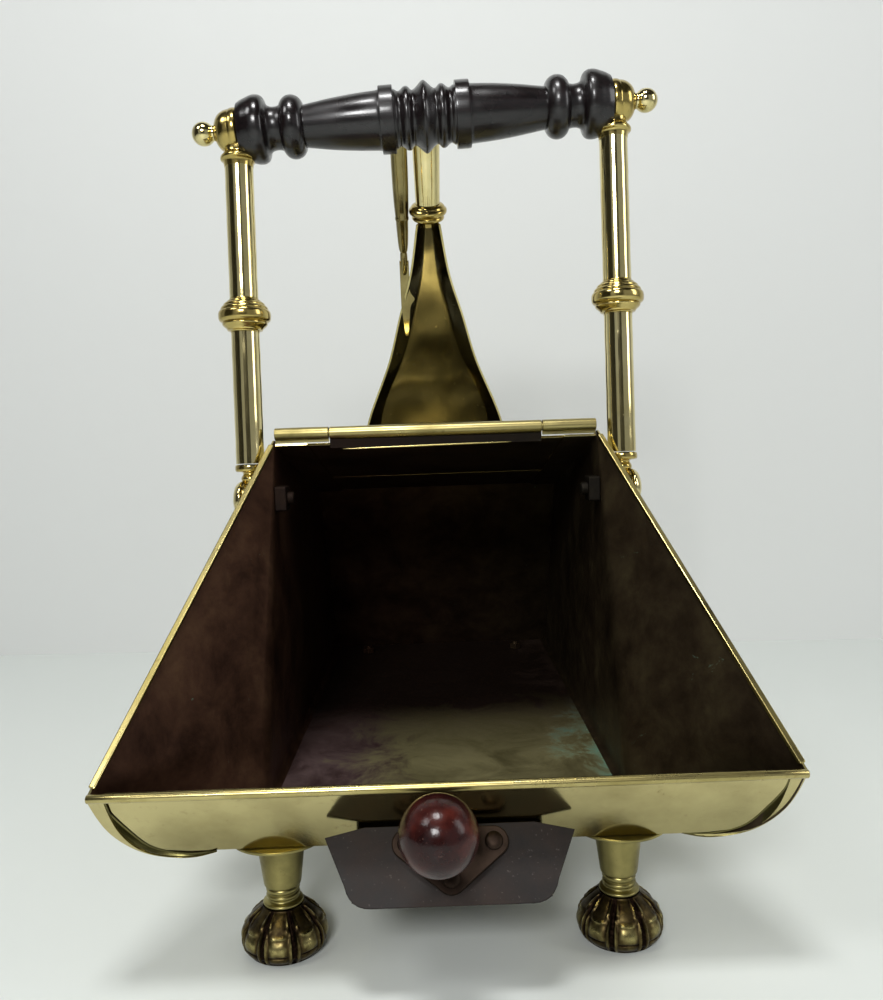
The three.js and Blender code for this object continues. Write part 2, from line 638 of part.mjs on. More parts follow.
// Turned knop between the two tubes of a post, with a spigot into each.
function bailKnop() {
  const r = KNOP_RADIUS;
  const h = KNOP_HALF;
  return turned([
    [0, -h - SPIGOT_LENGTH], [spigot, -h - SPIGOT_LENGTH], [spigot, -h], [r * 0.62, -h],
    [r * 0.86, -h * 0.62], [r * 0.84, -h * 0.5], [r, -h * 0.12], [r, h * 0.1],
    [r * 0.9, h * 0.38], [r * 0.88, h * 0.5], [r * 0.74, h * 0.8], [r * 0.6, h],
    [spigot, h], [spigot, h + SPIGOT_LENGTH], [0, h + SPIGOT_LENGTH],
  ], 16);
}

// Elbow between post and grip: a ball that the end of the grip is let into, a collar on
// the tube below it and a hole for the rod. Face and hole are tilted as the grip is.
function bailElbow(sign) {
  const r = ELBOW_RADIUS;
  const foot = -ELBOW_DROP;
  const ball = turned([
    [0, foot - SPIGOT_LENGTH], [spigot, foot - SPIGOT_LENGTH], [spigot, foot],
    [TUBE_RADIUS, foot], [TUBE_RADIUS, foot + 3], [TUBE_RADIUS * 1.24, foot + 4],
    [TUBE_RADIUS * 1.24, foot + 6.4], [TUBE_RADIUS * 1.1, foot + 7.4], [r * 0.82, -r * 0.72],
    [r, -r * 0.3], [r, r * 0.3], [r * 0.82, r * 0.72], [r * 0.45, r * 1.02], [0, r * 1.12],
  ], 16);
  const tilt = -GRIP_TILT;
  const inner = GRIP_HALF + SEAT - POST_X / Math.cos(rad(GRIP_TILT));
  const far = sign > 0 ? [-4 * r, inner] : [-inner, 4 * r];
  const low = -GRIP_FLANGE_RADIUS - SEAT;
  const keep = block([far[0], -3 * r, low], [far[1], 3 * r, 3 * r]).rotate([0, tilt, 0]);
  const hole = rodOnX(ROD_RADIUS + PIVOT_CLEARANCE, -3 * r, 3 * r).rotate([0, tilt, 0]);
  return cut(ball, keep, hole);
}

const postTop = (sign) => GRIP_HEIGHT + sign * gripRise - ELBOW_DROP;

for (const [side, sign] of [['left', -1], ['right', 1]]) {
  const post = new THREE.Group();
  post.position.set(sign * POST_X, 0, 0);
  bail.add(post);
  const knopZ = KNOP_HEIGHT + sign * gripRise * KNOP_SHIFT;
  const lower = pipe(TUBE_RADIUS, tubeBore, COLLAR_TOP + SEAT, knopZ - KNOP_HALF - SEAT);
  const upper = pipe(TUBE_RADIUS, tubeBore, knopZ + KNOP_HALF + SEAT, postTop(sign) - SEAT);
  addPart(bail, `bail_eye_${side}`, bailEye(sign), polishedBrass());
  addPart(post, `bail_lower_tube_${side}`, lower, polishedBrass());
  addPart(post, `bail_knop_${side}`, bailKnop().translate([0, 0, knopZ]), polishedBrass());
  addPart(post, `bail_upper_tube_${side}`, upper, polishedBrass());
  const elbow = bailElbow(sign).translate([0, 0, GRIP_HEIGHT + sign * gripRise]);
  addPart(post, `bail_elbow_${side}`, elbow, polishedBrass());
}

// Grip, rod and finials lie on one tilted axis.
const handle = new THREE.Group();
handle.position.set(0, 0, GRIP_HEIGHT);
handle.rotation.y = -rad(GRIP_TILT);
bail.add(handle);

const finialX = POST_X / Math.cos(rad(GRIP_TILT)) + FINIAL_REACH;

// The rings in the middle of the turned grip, as (distance from the middle, radius).
const GRIP_RINGS = [
  [0, 20.9], [1.6, 20.6], [6, 15.8], [7.4, 15.8], [9.6, 18.2], [12, 18.2], [15, 15.6],
  [18.4, 16.6], [19, 19.6], [27, 19.6], [28, 17.2],
];

// The end of the grip beyond its barrel, as (distance from the end, radius).
const GRIP_BELL = [
  [40, 12], [39, 14.6], [35.5, 18], [31, 18.4], [27, 16.6], [25.4, 13], [22, 12.2],
  [18, 13.2], [16, 18.6], [13, GRIP_FLANGE_RADIUS], [7, 19.4], [0, 16],
];

function grip() {
  const bore = ROD_RADIUS + GRIP_BORE_CLEARANCE;
  const ends = GRIP_BELL.map(([x, r]) => [r, GRIP_HALF - x]);
  const rightHalf = [...GRIP_RINGS.map(([x, r]) => [r, x]), ...ends];
  const leftHalf = rightHalf.slice(1).map(([r, x]) => [r, -x]).reverse();
  return turnedOnX([
    [bore, -GRIP_HALF], ...leftHalf, ...rightHalf, [bore, GRIP_HALF], [bore, -GRIP_HALF],
  ], 16);
}

// Ball finial with a short neck, screwed on the end of the rod.
function finial() {
  const neckX = ELBOW_RADIUS + SEAT - FINIAL_REACH;
  const ball = new THREE.SphereGeometry(FINIAL_RADIUS, 12, 8);
  const neck = rodOnX(5, neckX, 0, 16);
  const socket = rodOnX(ROD_RADIUS + PIVOT_CLEARANCE, neckX - 1, 0);
  return cut(join(solid(ball), neck), socket);
}

addPart(handle, 'bail_grip', grip(), ebonisedWood());
addPart(handle, 'bail_rod', rodOnX(ROD_RADIUS, -finialX + SEAT, finialX - SEAT), darkSteel());
const rightFinial = finial().translate([finialX, 0, 0]);
addPart(handle, 'bail_finial_left', mirrored(rightFinial), polishedBrass());
addPart(handle, 'bail_finial_right', rightFinial, polishedBrass());

// ---------------------------------------------------------------- dust tray

const tray = new THREE.Group();
root.add(tray);

const plateTilt = rad(PLATE_TILT);
const plateUp = new THREE.Vector2(Math.sin(plateTilt), Math.cos(plateTilt));
const plateTop = new THREE.Vector2(PLATE_TOP_Y, FLOOR_HEIGHT + PLATE_TOP_RISE);
const plateMiddle = plateTop.clone().addScaledVector(plateUp, -PLATE_LENGTH / 2);
const plateBottom = plateTop.clone().addScaledVector(plateUp, -PLATE_LENGTH);

const trayRim = FLOOR_HEIGHT - TRAY_GAP;
const trayFloor = trayRim - TRAY_DEPTH;
const trayRear = PLATE_TOP_Y + TRAY_LENGTH;

// Outline of the tray from the side: its floor rises to the foot of the front plate.
function traySide(inset) {
  const low = trayFloor + inset;
  return [
    [trayRear - inset, trayRim + 2 * inset], [trayRear - inset, low], [26 + inset / 2, low],
    [plateBottom.x - 8, plateBottom.y + 3.2 + inset], [plateBottom.x - 8, trayRim + 2 * inset],
  ];
}

function trayPan() {
  const half = TRAY_HALF_WIDTH;
  const shell = cut(alongX(traySide(0), -half, half),
    alongX(traySide(TRAY_SHEET), -half + TRAY_SHEET, half - TRAY_SHEET));
  const flanges = [-1, 1].map((sign) => {
    const edges = [sign * (half - TRAY_SHEET / 2), sign * (half + TRAY_FLANGE)];
    return block([Math.min(...edges), TRAY_FLANGE_FRONT, trayRim - TRAY_SHEET],
      [Math.max(...edges), trayRear, trayRim]);
  });
  const reach = 60;
  const ahead = new THREE.Vector2(-plateUp.y, plateUp.x);
  const base = plateMiddle.clone().addScaledVector(ahead, -SEAT);
  const corner = (up, out) => {
    const p = base.clone().addScaledVector(plateUp, up).addScaledVector(ahead, out);
    return [p.x, p.y];
  };
  const front = alongX([corner(-reach, 0), corner(-reach, reach), corner(reach, reach),
    corner(reach, 0)].reverse(), -2 * half, 2 * half);
  return cut(join(shell, ...flanges), front);
}

addPart(tray, 'tray_pan', trayPan(), japannedSteel());

// Pieces on the front plate are drawn in its own plane: X across, Y up the plate and
// Z out of its face.
const plateFrame = new THREE.Group();
plateFrame.position.set(0, plateMiddle.x, plateMiddle.y);
plateFrame.rotation.x = Math.PI / 2 - plateTilt;
tray.add(plateFrame);

function frontPlate() {
  const up = PLATE_LENGTH / 2;
  const shoulder = up - 4.2;
  const shape = new THREE.Shape();
  shape.moveTo(-PLATE_TOP_HALF, shoulder);
  shape.lineTo(-PLATE_BOTTOM_HALF - 2.6, -up + PLATE_CORNER);
  shape.quadraticCurveTo(-PLATE_BOTTOM_HALF, -up, -PLATE_BOTTOM_HALF + PLATE_CORNER, -up);
  shape.lineTo(PLATE_BOTTOM_HALF - PLATE_CORNER, -up);
  shape.quadraticCurveTo(PLATE_BOTTOM_HALF, -up, PLATE_BOTTOM_HALF + 2.6, -up + PLATE_CORNER);
  shape.lineTo(PLATE_TOP_HALF, shoulder);
  shape.lineTo(PLATE_TOP_HALF * 0.68, up);
  shape.lineTo(-PLATE_TOP_HALF * 0.68, up);
  shape.closePath();
  return alongZ(shape, 0, PLATE_THICKNESS);
}

// A three-lobed bracket with a rivet in each lobe and a boss for the knob's stem.
function knobBracket() {
  const rivets = [[-RIVET_SPREAD, RIVET_UP], [0, RIVET_DOWN], [RIVET_SPREAD, RIVET_UP]];
  const shape = new THREE.Shape();
  rivets.forEach(([x, y], i) => {
    const [px, py] = rivets[(i + 2) % 3];
    const [nx, ny] = rivets[(i + 1) % 3];
    const start = Math.atan2(y - py, x - px) - Math.PI / 2;
    const end = Math.atan2(ny - y, nx - x) - Math.PI / 2;
    shape.absarc(x, y, BRACKET_LOBE, start, end, false);
  });
  shape.closePath();
  const low = PLATE_THICKNESS + SEAT;
  const face = low + BRACKET_THICKNESS;
  const heads = rivets.map(([x, y]) => turned([
    [0, face - 0.5], [RIVET_RADIUS, face - 0.5], [RIVET_RADIUS * 0.94, face + RIVET_HEIGHT * 0.4],
    [RIVET_RADIUS * 0.6, face + RIVET_HEIGHT * 0.85], [0, face + RIVET_HEIGHT],
  ], 14).translate([x, y, 0]));
  const boss = turned([
    [0, face - 0.5], [9.5, face - 0.5], [8, face + 2], [0, face + 2],
  ], 18).translate([KNOB_OFFSET, 0, 0]);
  return join(alongZ(shape, low, face), ...heads, boss);
}

const bossTop = PLATE_THICKNESS + SEAT + BRACKET_THICKNESS + 2;
const knobBack = KNOB_REACH - Math.sqrt(KNOB_RADIUS ** 2 - KNOB_STEM_RADIUS ** 2);

function knobStem() {
  const foot = bossTop + SEAT;
  const socketEnd = knobBack + KNOB_SOCKET_DEPTH - 1;
  return turned([
    [0, foot], [7.5, foot], [6, foot + 3], [KNOB_STEM_RADIUS, foot + 8],
    [KNOB_STEM_RADIUS, knobBack - 4], [8.5, knobBack - 3], [8.5, knobBack - 1.6],
    [KNOB_STEM_RADIUS, knobBack - 1], [KNOB_STEM_RADIUS, socketEnd], [0, socketEnd],
  ], 16).translate([KNOB_OFFSET, 0, 0]);
}

function ballKnob() {
  const ball = solid(new THREE.SphereGeometry(KNOB_RADIUS, 20, 14));
  const socket = rod(KNOB_STEM_RADIUS + SEAT, -2 * KNOB_RADIUS,
    knobBack + KNOB_SOCKET_DEPTH - KNOB_REACH);
  return cut(ball, socket).translate([KNOB_OFFSET, 0, KNOB_REACH]);
}

addPart(plateFrame, 'tray_front_plate', frontPlate(), japannedSteel());

const knobFrame = new THREE.Group();
knobFrame.position.set(0, BRACKET_UP, 0);
plateFrame.add(knobFrame);
addPart(knobFrame, 'knob_bracket', knobBracket(), darkBronze());
addPart(knobFrame, 'knob_stem', knobStem(), darkBronze());
addPart(knobFrame, 'ball_knob', ballKnob(), varnishedWood());

// Channel under the floor that one flange of the tray slides in.
function trayRunner() {
  const inner = TRAY_HALF_WIDTH + RUNNER_CLEARANCE;
  const web = TRAY_HALF_WIDTH + TRAY_FLANGE + RUNNER_CLEARANCE;
  const top = FLOOR_HEIGHT - SEAT;
  const lipTop = trayRim - TRAY_SHEET - SEAT;
  const y0 = trayRear + 6 - RUNNER_LENGTH;
  const side = block([web, y0, lipTop - RUNNER_SHEET], [web + RUNNER_SHEET, trayRear + 6, top]);
  const lip = block([inner, y0, lipTop - RUNNER_SHEET], [web + RUNNER_SHEET, trayRear + 6, lipTop]);
  const stop = block([inner - 6, trayRear + 1, lipTop - RUNNER_SHEET],
    [web + RUNNER_SHEET, trayRear + 6, top]);
  return join(side, lip, stop);
}

const rightRunner = trayRunner();
addPart(body, 'tray_runner_left', mirrored(rightRunner), dulledBrass());
addPart(body, 'tray_runner_right', rightRunner, dulledBrass());

// ---------------------------------------------------------------- shovel and its shoe

// Both are drawn from the top edge of the back: X across, Y out of the back and Z up it.
const backFrame = () => {
  const frame = new THREE.Group();
  frame.position.set(0, BACK_TOP.x, BACK_TOP.y);
  frame.rotation.x = BACK_ANGLE;
  return frame;
};

const shoeFrame = backFrame();
body.add(shoeFrame);
const shovel = backFrame();
root.add(shovel);

const collarFoot = SHOVEL_LENGTH - SHOVEL_TIP;
const bladeFoot = -SHOVEL_TIP;

function shovelShoe() {
  const half = SHOVEL_HALF_WIDTH + SHOE_CLEARANCE;
  const depth = SHOVEL_STANDOFF + SHOVEL_DEPTH + SHOE_CLEARANCE;
  const low = bladeFoot - SEAT;
  const outer = block([-half - SHOE_WALL, SEAT, low - SHOE_WALL],
    [half + SHOE_WALL, depth + SHOE_WALL, low + SHOE_HEIGHT]);
  const pocket = block([-half, -SHOE_WALL, low], [half, depth, low + 2 * SHOE_HEIGHT]);
  return cut(outer, pocket);
}

addPart(shoeFrame, 'shovel_shoe', shovelShoe(), polishedBrass());

// Half-widths of the folded blade from tip to neck, as [share of the length, edge, fold].
const BLADE_SHAPE = [
  [0, 1, 0.77], [0.17, 0.97, 0.74], [0.385, 0.86, 0.65], [0.6, 0.53, 0.39],
  [0.74, 0.375, 0.24], [0.86, 0.23, 0.13], [1 - SEAT / SHOVEL_LENGTH, 0.14, 0.105],
];

function shovelBlade() {
  const rings = BLADE_SHAPE.map(([share, edge, fold]) => {
    const z = bladeFoot + share * SHOVEL_LENGTH;
    const rise = THREE.MathUtils.smoothstep(share, 0.3, 1);
    const near = SHOVEL_STANDOFF + rise * 4;
    const far = SHOVEL_STANDOFF + SHOVEL_DEPTH - rise * 2.5;
    const e = edge * SHOVEL_HALF_WIDTH;
    const f = fold * SHOVEL_HALF_WIDTH;
    const t = SHOVEL_SHEET;
    const outline = [[e, near], [f, far], [-f, far], [-e, near]];
    const inner = [[-e + t, near], [-f + t * 0.7, far - t], [f - t * 0.7, far - t], [e - t, near]];
    return [...outline, ...inner].map(([x, y]) => new THREE.Vector3(x, y, z));
  });
  return loft('z', rings);
}

// Double-ringed collar with a tang in the blade's neck and a spigot in the tube.
function shovelCollar() {
  const r = SHOVEL_COLLAR_RADIUS;
  const z0 = collarFoot;
  const z1 = collarFoot + SHOVEL_COLLAR_LENGTH;
  const tang = SHOVEL_TANG_RADIUS;
  return turned([
    [0, z0 - 16], [tang, z0 - 16], [tang, z0], [r * 0.7, z0], [r * 0.86, z0 + 1.2],
    [r * 0.86, z0 + 3], [r * 0.78, z0 + 4], [r, z0 + 6], [r, z0 + 8.4], [r * 0.82, z0 + 11],
    [r * 0.7, z1], [spigot, z1], [spigot, z1 + SPIGOT_LENGTH], [0, z1 + SPIGOT_LENGTH],
  ], 18).translate([0, SHOVEL_AXIS, 0]);
}

const tubeFoot = collarFoot + SHOVEL_COLLAR_LENGTH + SEAT;
const tubeTop = tubeFoot + SHOVEL_TUBE_LENGTH;

// Short tube handle that widens to a rounded end.
function shovelHandle() {
  const r = SHOVEL_TUBE_TOP_RADIUS;
  return turned([
    [tubeBore, tubeFoot], [TUBE_RADIUS, tubeFoot], [r, tubeTop], [r * 1.05, tubeTop + 0.6],
    [r * 1.05, tubeTop + 2.4], [r * 0.85, tubeTop + 4.4], [r * 0.5, tubeTop + 6.4],
    [0, tubeTop + 7], [0, tubeTop - 2], [tubeBore, tubeTop - 2], [tubeBore, tubeFoot],
  ], 18).translate([0, SHOVEL_AXIS, 0]);
}

// Hanging hook: a band round the handle, a round bar beside it and a flat tail.
function shovelHook() {
  const bandLow = tubeTop - 20;
  const inner = SHOVEL_TUBE_TOP_RADIUS + SEAT;
  const band = pipe(inner + 2.1, inner, bandLow, bandLow + 12, 18)
    .translate([0, SHOVEL_AXIS, 0]);
  const barFoot = collarFoot - 24;
  const r = HOOK_RADIUS;
  const bar = turned([
    [0, barFoot], [r * 0.62, barFoot], [r * 0.62, barFoot + 12], [r * 0.9, barFoot + 36],
    [r, barFoot + 60], [r, tubeTop - 4], [r * 0.6, tubeTop], [0, tubeTop],
  ], 14).translate([HOOK_X, SHOVEL_AXIS - 3, 0]);
  const bridge = block([HOOK_X, SHOVEL_AXIS - 3, bandLow + 1],
    [-inner - 0.9, SHOVEL_AXIS + 1, bandLow + 11]);
  const bridgeFoot = block([HOOK_X - r * 0.6, -1.5, barFoot + 1],
    [HOOK_X + r * 0.6, SHOVEL_AXIS - 3, barFoot + 8]);
  const tail = block([HOOK_X - HOOK_TAIL_WIDTH / 2, -1.5, barFoot - 58],
    [HOOK_X + HOOK_TAIL_WIDTH / 2, 0.8, barFoot + 8]);
  const tab = block([HOOK_X + HOOK_TAIL_WIDTH / 2 - 1, -1.5, barFoot - 36],
    [HOOK_X + HOOK_TAIL_WIDTH / 2 + 4, 0.8, barFoot - 20]);
  return join(band, bar, bridge, bridgeFoot, tail, tab);
}

addPart(shovel, 'shovel_blade', shovelBlade(), polishedBrass());
addPart(shovel, 'shovel_collar', shovelCollar(), polishedBrass());
addPart(shovel, 'shovel_handle', shovelHandle(), polishedBrass());
addPart(shovel, 'shovel_hook', shovelHook(), dulledBrass());

// ---------------------------------------------------------------- origin

// The origin is the middle of the footprint, at table height.
root.updateMatrixWorld(true);
const extent = new THREE.Box3().setFromObject(root, true);
root.position.set(-(extent.min.x + extent.max.x) / 2, -(extent.min.y + extent.max.y) / 2,
  -extent.min.z);
root.updateMatrixWorld(true);

export default root;
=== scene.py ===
import math

import bmesh
import bpy
from mathutils import Matrix, Vector, noise


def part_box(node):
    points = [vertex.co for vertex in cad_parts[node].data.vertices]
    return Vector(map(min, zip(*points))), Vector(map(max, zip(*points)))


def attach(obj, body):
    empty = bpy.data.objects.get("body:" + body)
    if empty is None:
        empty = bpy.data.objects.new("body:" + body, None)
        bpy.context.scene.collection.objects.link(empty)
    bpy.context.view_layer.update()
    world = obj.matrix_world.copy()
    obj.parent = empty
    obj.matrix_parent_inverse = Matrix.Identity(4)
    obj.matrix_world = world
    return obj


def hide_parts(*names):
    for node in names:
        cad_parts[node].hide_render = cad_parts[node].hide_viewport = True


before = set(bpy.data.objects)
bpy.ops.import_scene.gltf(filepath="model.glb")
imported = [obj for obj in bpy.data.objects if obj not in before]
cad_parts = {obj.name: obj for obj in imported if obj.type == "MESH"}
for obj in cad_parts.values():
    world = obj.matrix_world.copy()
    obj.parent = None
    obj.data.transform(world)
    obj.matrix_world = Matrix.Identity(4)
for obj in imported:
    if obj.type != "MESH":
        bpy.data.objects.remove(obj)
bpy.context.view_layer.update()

# ---------------------------------------------------------------- side shells
# The two sides of the scuttle: one sheet of brass each, bent out into a wing at the
# mouth and rolled under at the floor. Polished outside, black with tarnish inside.

MM = 0.001
LIP_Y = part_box("side_shell_left")[0].y          # everything below is measured from the lip
FLOOR_Z = 62 * MM
LIP_Z = 103 * MM
HINGE_Y, TOP_Z = 155 * MM, 262 * MM
BACK_Y, BACK_Z = 354 * MM, 221 * MM
BACK_FOOT_Y = 450 * MM
APRON_FOOT_Y = 30 * MM
BOX_HALF, LIP_HALF = 101 * MM, 165 * MM
SHEET = 1.5 * MM
FOLD_FOOT_Y = 87 * MM
ROLL_REAR = 6 * MM              # size of the rolled lower corner along the box
ROLL_IN, ROLL_UP = 31 * MM, 16 * MM    # how it grows at the mouth
fold = Vector((HINGE_Y - FOLD_FOOT_Y, TOP_Z - FLOOR_Z - SHEET)).normalized()


def ahead_of_fold(y, z):
    return -fold.y * (y - HINGE_Y) + fold.x * (z - TOP_Z)


wing_slope = (LIP_HALF - BOX_HALF) / ahead_of_fold(0, LIP_Z)


def half_width(y, z):
    """Half the outside width of the flat box and of the wings ahead of the fold."""
    return min(LIP_HALF - 0.2 * MM, BOX_HALF + wing_slope * max(0, ahead_of_fold(y, z)))


def grown(y, front):
    """A size of the roll: small along the box, growing to its value at the lip."""
    return ROLL_REAR + (front - ROLL_REAR) * max(0, 1 - y / FOLD_FOOT_Y)


def roll(y, t):
    """A point (x, z) of the rolled lower corner, from the floor (0) to the wall (1)."""
    top = FLOOR_Z + grown(y, ROLL_UP)
    corner = half_width(y, FLOOR_Z)
    foot = corner - grown(y, ROLL_IN)
    x = (1 - t) ** 2 * foot + 2 * t * (1 - t) * corner + t * t * half_width(y, top)
    return x, FLOOR_Z + t * t * (top - FLOOR_Z)


def linear(colour):
    """An sRGB hex colour as the linear one that a socket takes."""
    parts = [int(colour[i:i + 2], 16) / 255 for i in (1, 3, 5)]
    return [*(c / 12.92 if c <= 0.04045 else ((c + 0.055) / 1.055) ** 2.4 for c in parts), 1]


def node(tree, kind, sockets=None, stops=(), **settings):
    """Adds one node, sets it and links it. A ramp takes its stops as (place, colour)."""
    made = tree.nodes.new("ShaderNode" + kind)
    for name, value in settings.items():
        setattr(made, name, value)
    for name, value in (sockets or {}).items():
        if isinstance(value, bpy.types.NodeSocket):
            tree.links.new(value, made.inputs[name])
        else:
            made.inputs[name].default_value = value
    for i, (place, colour) in enumerate(stops):
        points = made.color_ramp.elements
        point = points[i] if i < 2 else points.new(place)
        point.position = place
        point.color = linear(colour)
    return made


def new_finish(name):
    material = bpy.data.materials.new(name)
    material.use_nodes = True
    tree = material.node_tree
    return material, tree, tree.nodes["Principled BSDF"].inputs


def dress(tree, shader, colour, rough, bump):
    """Links a finish's colour, roughness and bump to its shader."""
    tree.links.new(colour, shader["Base Color"])
    tree.links.new(rough, shader["Roughness"])
    tree.links.new(bump.outputs["Normal"], shader["Normal"])


SPREAD = {"From Min": 0.3, "From Max": 0.7}     # where most of a noise's values lie


def brass(name, dull, bright, rough, tarnish="#6E5527", patches=0.5, dents=0.0012):
    """Rolled or turned brass, hand polished: a clear reflection, broken by fine rubbing
    marks 2 mm apart, cloudy patches 40 mm across and tarnish spots of 6 mm."""
    material, tree, shader = new_finish(name)
    place = node(tree, "TexCoord").outputs["Object"]
    cloud = node(tree, "TexNoise", {"Vector": place, "Scale": 25, "Detail": 5, "Roughness": 0.6})
    tone = node(tree, "ValToRGB", {"Fac": cloud.outputs["Fac"]}, [(0.3, dull), (0.62, bright)])
    spots = node(tree, "TexNoise", {"Vector": place, "Scale": 160, "Detail": 6, "Roughness": 0.7})
    spotted = node(tree, "MapRange", {
        "Value": spots.outputs["Fac"], "From Min": 0.6, "From Max": 0.78, "To Max": patches})
    colour = node(tree, "Mix", {
        0: spotted.outputs["Result"], 6: tone.outputs["Color"], 7: linear(tarnish)},
        data_type="RGBA")
    rub = node(tree, "Mapping", {"Vector": place, "Scale": (1, 1, 0.08)})
    rubbing = node(tree, "TexNoise", {
        "Vector": rub.outputs["Vector"], "Scale": 500, "Detail": 3})
    worn = node(tree, "MapRange", {
        **SPREAD, "Value": cloud.outputs["Fac"], "To Min": rough * 1.5, "To Max": rough * 0.75})
    roughness = node(tree, "Math", {
        0: worn.outputs["Result"], 1: spotted.outputs["Result"]}, operation="MAXIMUM")
    waves = node(tree, "TexNoise", {"Vector": place, "Scale": 18, "Detail": 1})
    wavy = node(tree, "Bump", {
        "Height": waves.outputs["Fac"], "Distance": dents, "Strength": 0.35})
    rubbed = node(tree, "Bump", {
        "Height": rubbing.outputs["Fac"], "Distance": 0.00004, "Strength": 0.5,
        "Normal": wavy.outputs["Normal"]})
    dress(tree, shader, colour.outputs[2], roughness.outputs["Value"], rubbed)
    shader["Metallic"].default_value = 1
    return material


def tarnished(name, dark, mid, light, green, rough):
    """Brass that coal has blackened: soft brown and violet clouds 50 mm across, finer
    mottling, paler rubbed patches and a few spots of verdigris 5 mm across."""
    material, tree, shader = new_finish(name)
    place = node(tree, "TexCoord").outputs["Object"]
    cloud = node(tree, "TexNoise", {
        "Vector": place, "Scale": 32, "Detail": 10, "Roughness": 0.7, "Distortion": 0.25})
    across = node(tree, "SeparateXYZ", {"Vector": place}).outputs["X"]
    to_right = node(tree, "MapRange", {
        "Value": across, "From Min": -0.1, "From Max": 0.1})
    cast = node(tree, "Mix", {
        0: to_right.outputs["Result"], 6: linear("#FFE2D8"), 7: linear("#E4F0DC")},
        data_type="RGBA")
    mottled = node(tree, "ValToRGB", {"Fac": cloud.outputs["Fac"]},
                   [(0.3, dark), (0.7, light), (0.5, mid)])
    tone = node(tree, "Mix", {0: 1.0, 6: mottled.outputs["Color"], 7: cast.outputs[2]},
                data_type="RGBA", blend_type="MULTIPLY")
    spots = node(tree, "TexNoise", {
        "Vector": place, "Scale": 60, "Detail": 9, "Roughness": 0.75, "Distortion": 1})
    verdigris = node(tree, "MapRange", {
        "Value": spots.outputs["Fac"], "From Min": 0.66, "From Max": 0.74, "To Max": 0.8})
    colour = node(tree, "Mix", {
        0: verdigris.outputs["Result"], 6: tone.outputs[2], 7: linear(green)},
        data_type="RGBA")
    grime = node(tree, "MapRange", {
        **SPREAD, "Value": cloud.outputs["Fac"], "To Min": rough * 0.8, "To Max": rough * 1.25})
    bare = node(tree, "MapRange", {
        "Value": verdigris.outputs["Result"], "To Min": 0.85, "To Max": 0.1})
    waves = node(tree, "TexNoise", {"Vector": place, "Scale": 22, "Detail": 3})
    wavy = node(tree, "Bump", {
        "Height": waves.outputs["Fac"], "Distance": 0.003, "Strength": 0.4})
    pits = node(tree, "Bump", {
        "Height": spots.outputs["Fac"], "Distance": 0.0004, "Strength": 0.4,
        "Normal": wavy.outputs["Normal"]})
    dress(tree, shader, colour.outputs[2], grime.outputs["Result"], pits)
    tree.links.new(bare.outputs["Result"], shader["Metallic"])
    return material


sheet_brass = brass("polished_sheet_brass", "#B0A268", "#D2C48A", 0.2)
inside_tarnish = tarnished(
    "coal_blackened_brass", "#33261F", "#4A3A2E", "#5C4D3B", "#6F9580", 0.45)


SHARP_EDGE = 38         # degrees at which a made piece shows a crisp edge


def finished(name, mesh, materials, body, nodes=()):
    """Makes the piece from a bmesh in the row frame and ties it to its CAD body."""
    data = bpy.data.meshes.new(name)
    for face in mesh.faces:
        face.smooth = True
    for edge in mesh.edges:
        edge.smooth = edge.calc_face_angle(0) < math.radians(SHARP_EDGE)
    mesh.to_mesh(data)
    mesh.free()
    for material in materials:
        data.materials.append(material)
    piece = bpy.data.objects.new(name, data)
    bpy.context.scene.collection.objects.link(piece)
    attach(piece, body)
    if nodes:
        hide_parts(*nodes)
    return piece


def ease_edges(piece, width, angle, segments=2):
    """Rounds off the edges that turn by more than an angle in degrees, by a width in mm."""
    ease = piece.modifiers.new("eased_edges", "BEVEL")
    ease.width = width * MM
    ease.segments = segments
    ease.limit_method = "ANGLE"
    ease.angle_limit = math.radians(angle)
    return ease


SWELL_SCALE = 14        # swells of the hand-worked sheet, about 70 mm apart


def sheet(name, columns, rows, place, materials, body, nodes=(), thick=SHEET, swell=0.25):
    """A sheet of metal. place(u, v) says where each point of its outer face is, and the
    sheet is thickened inwards, its cut edges are eased, and it is a little uneven."""
    mesh = bmesh.new()
    bmesh.ops.create_grid(mesh, x_segments=columns, y_segments=rows, size=0.5)
    for vert in mesh.verts:
        vert.co = place(vert.co.x + 0.5, vert.co.y + 0.5)
    mesh.normal_update()
    for vert in mesh.verts:
        vert.co += vert.normal * noise.noise(vert.co * SWELL_SCALE) * swell * MM
    piece = finished(name, mesh, materials, body, nodes)
    solid = piece.modifiers.new("thickness", "SOLIDIFY")
    solid.thickness = thick
    solid.offset = -1
    solid.material_offset = len(materials) - 1
    ease_edges(piece, 0.25, 50).harden_normals = True


def steps_between(stops):
    """Evenly spaced values through (value, cells up to it) stops."""
    values = [stops[0][0]]
    for (a, _), (b, cells) in zip(stops, stops[1:]):
        values += [a + (b - a) * (i + 1) / cells for i in range(cells)]
    return values


def softened(profile, rounds=2):
    """Rounds a profile's corners, apart from the points marked 1 as crisp."""
    points = [(*p, 0)[:3] for p in profile]
    points[0], points[-1] = (*points[0][:2], 1), (*points[-1][:2], 1)
    for _ in range(rounds):
        cut = []
        for a, b in zip(points, points[1:]):
            near = a if a[2] else (a[0] * 0.75 + b[0] * 0.25, a[1] * 0.75 + b[1] * 0.25, 0)
            far = b if b[2] else (a[0] * 0.25 + b[0] * 0.75, a[1] * 0.25 + b[1] * 0.75, 0)
            cut += [near, far]
        points = [p for i, p in enumerate(cut) if i == 0 or p != cut[i - 1]]
    return points


def between(value, places, values):
    for a, b, low, high in zip(places, places[1:], values, values[1:]):
        if value <= b:
            return low + (high - low) * max(0, value - a) / (b - a)
    return values[-1]


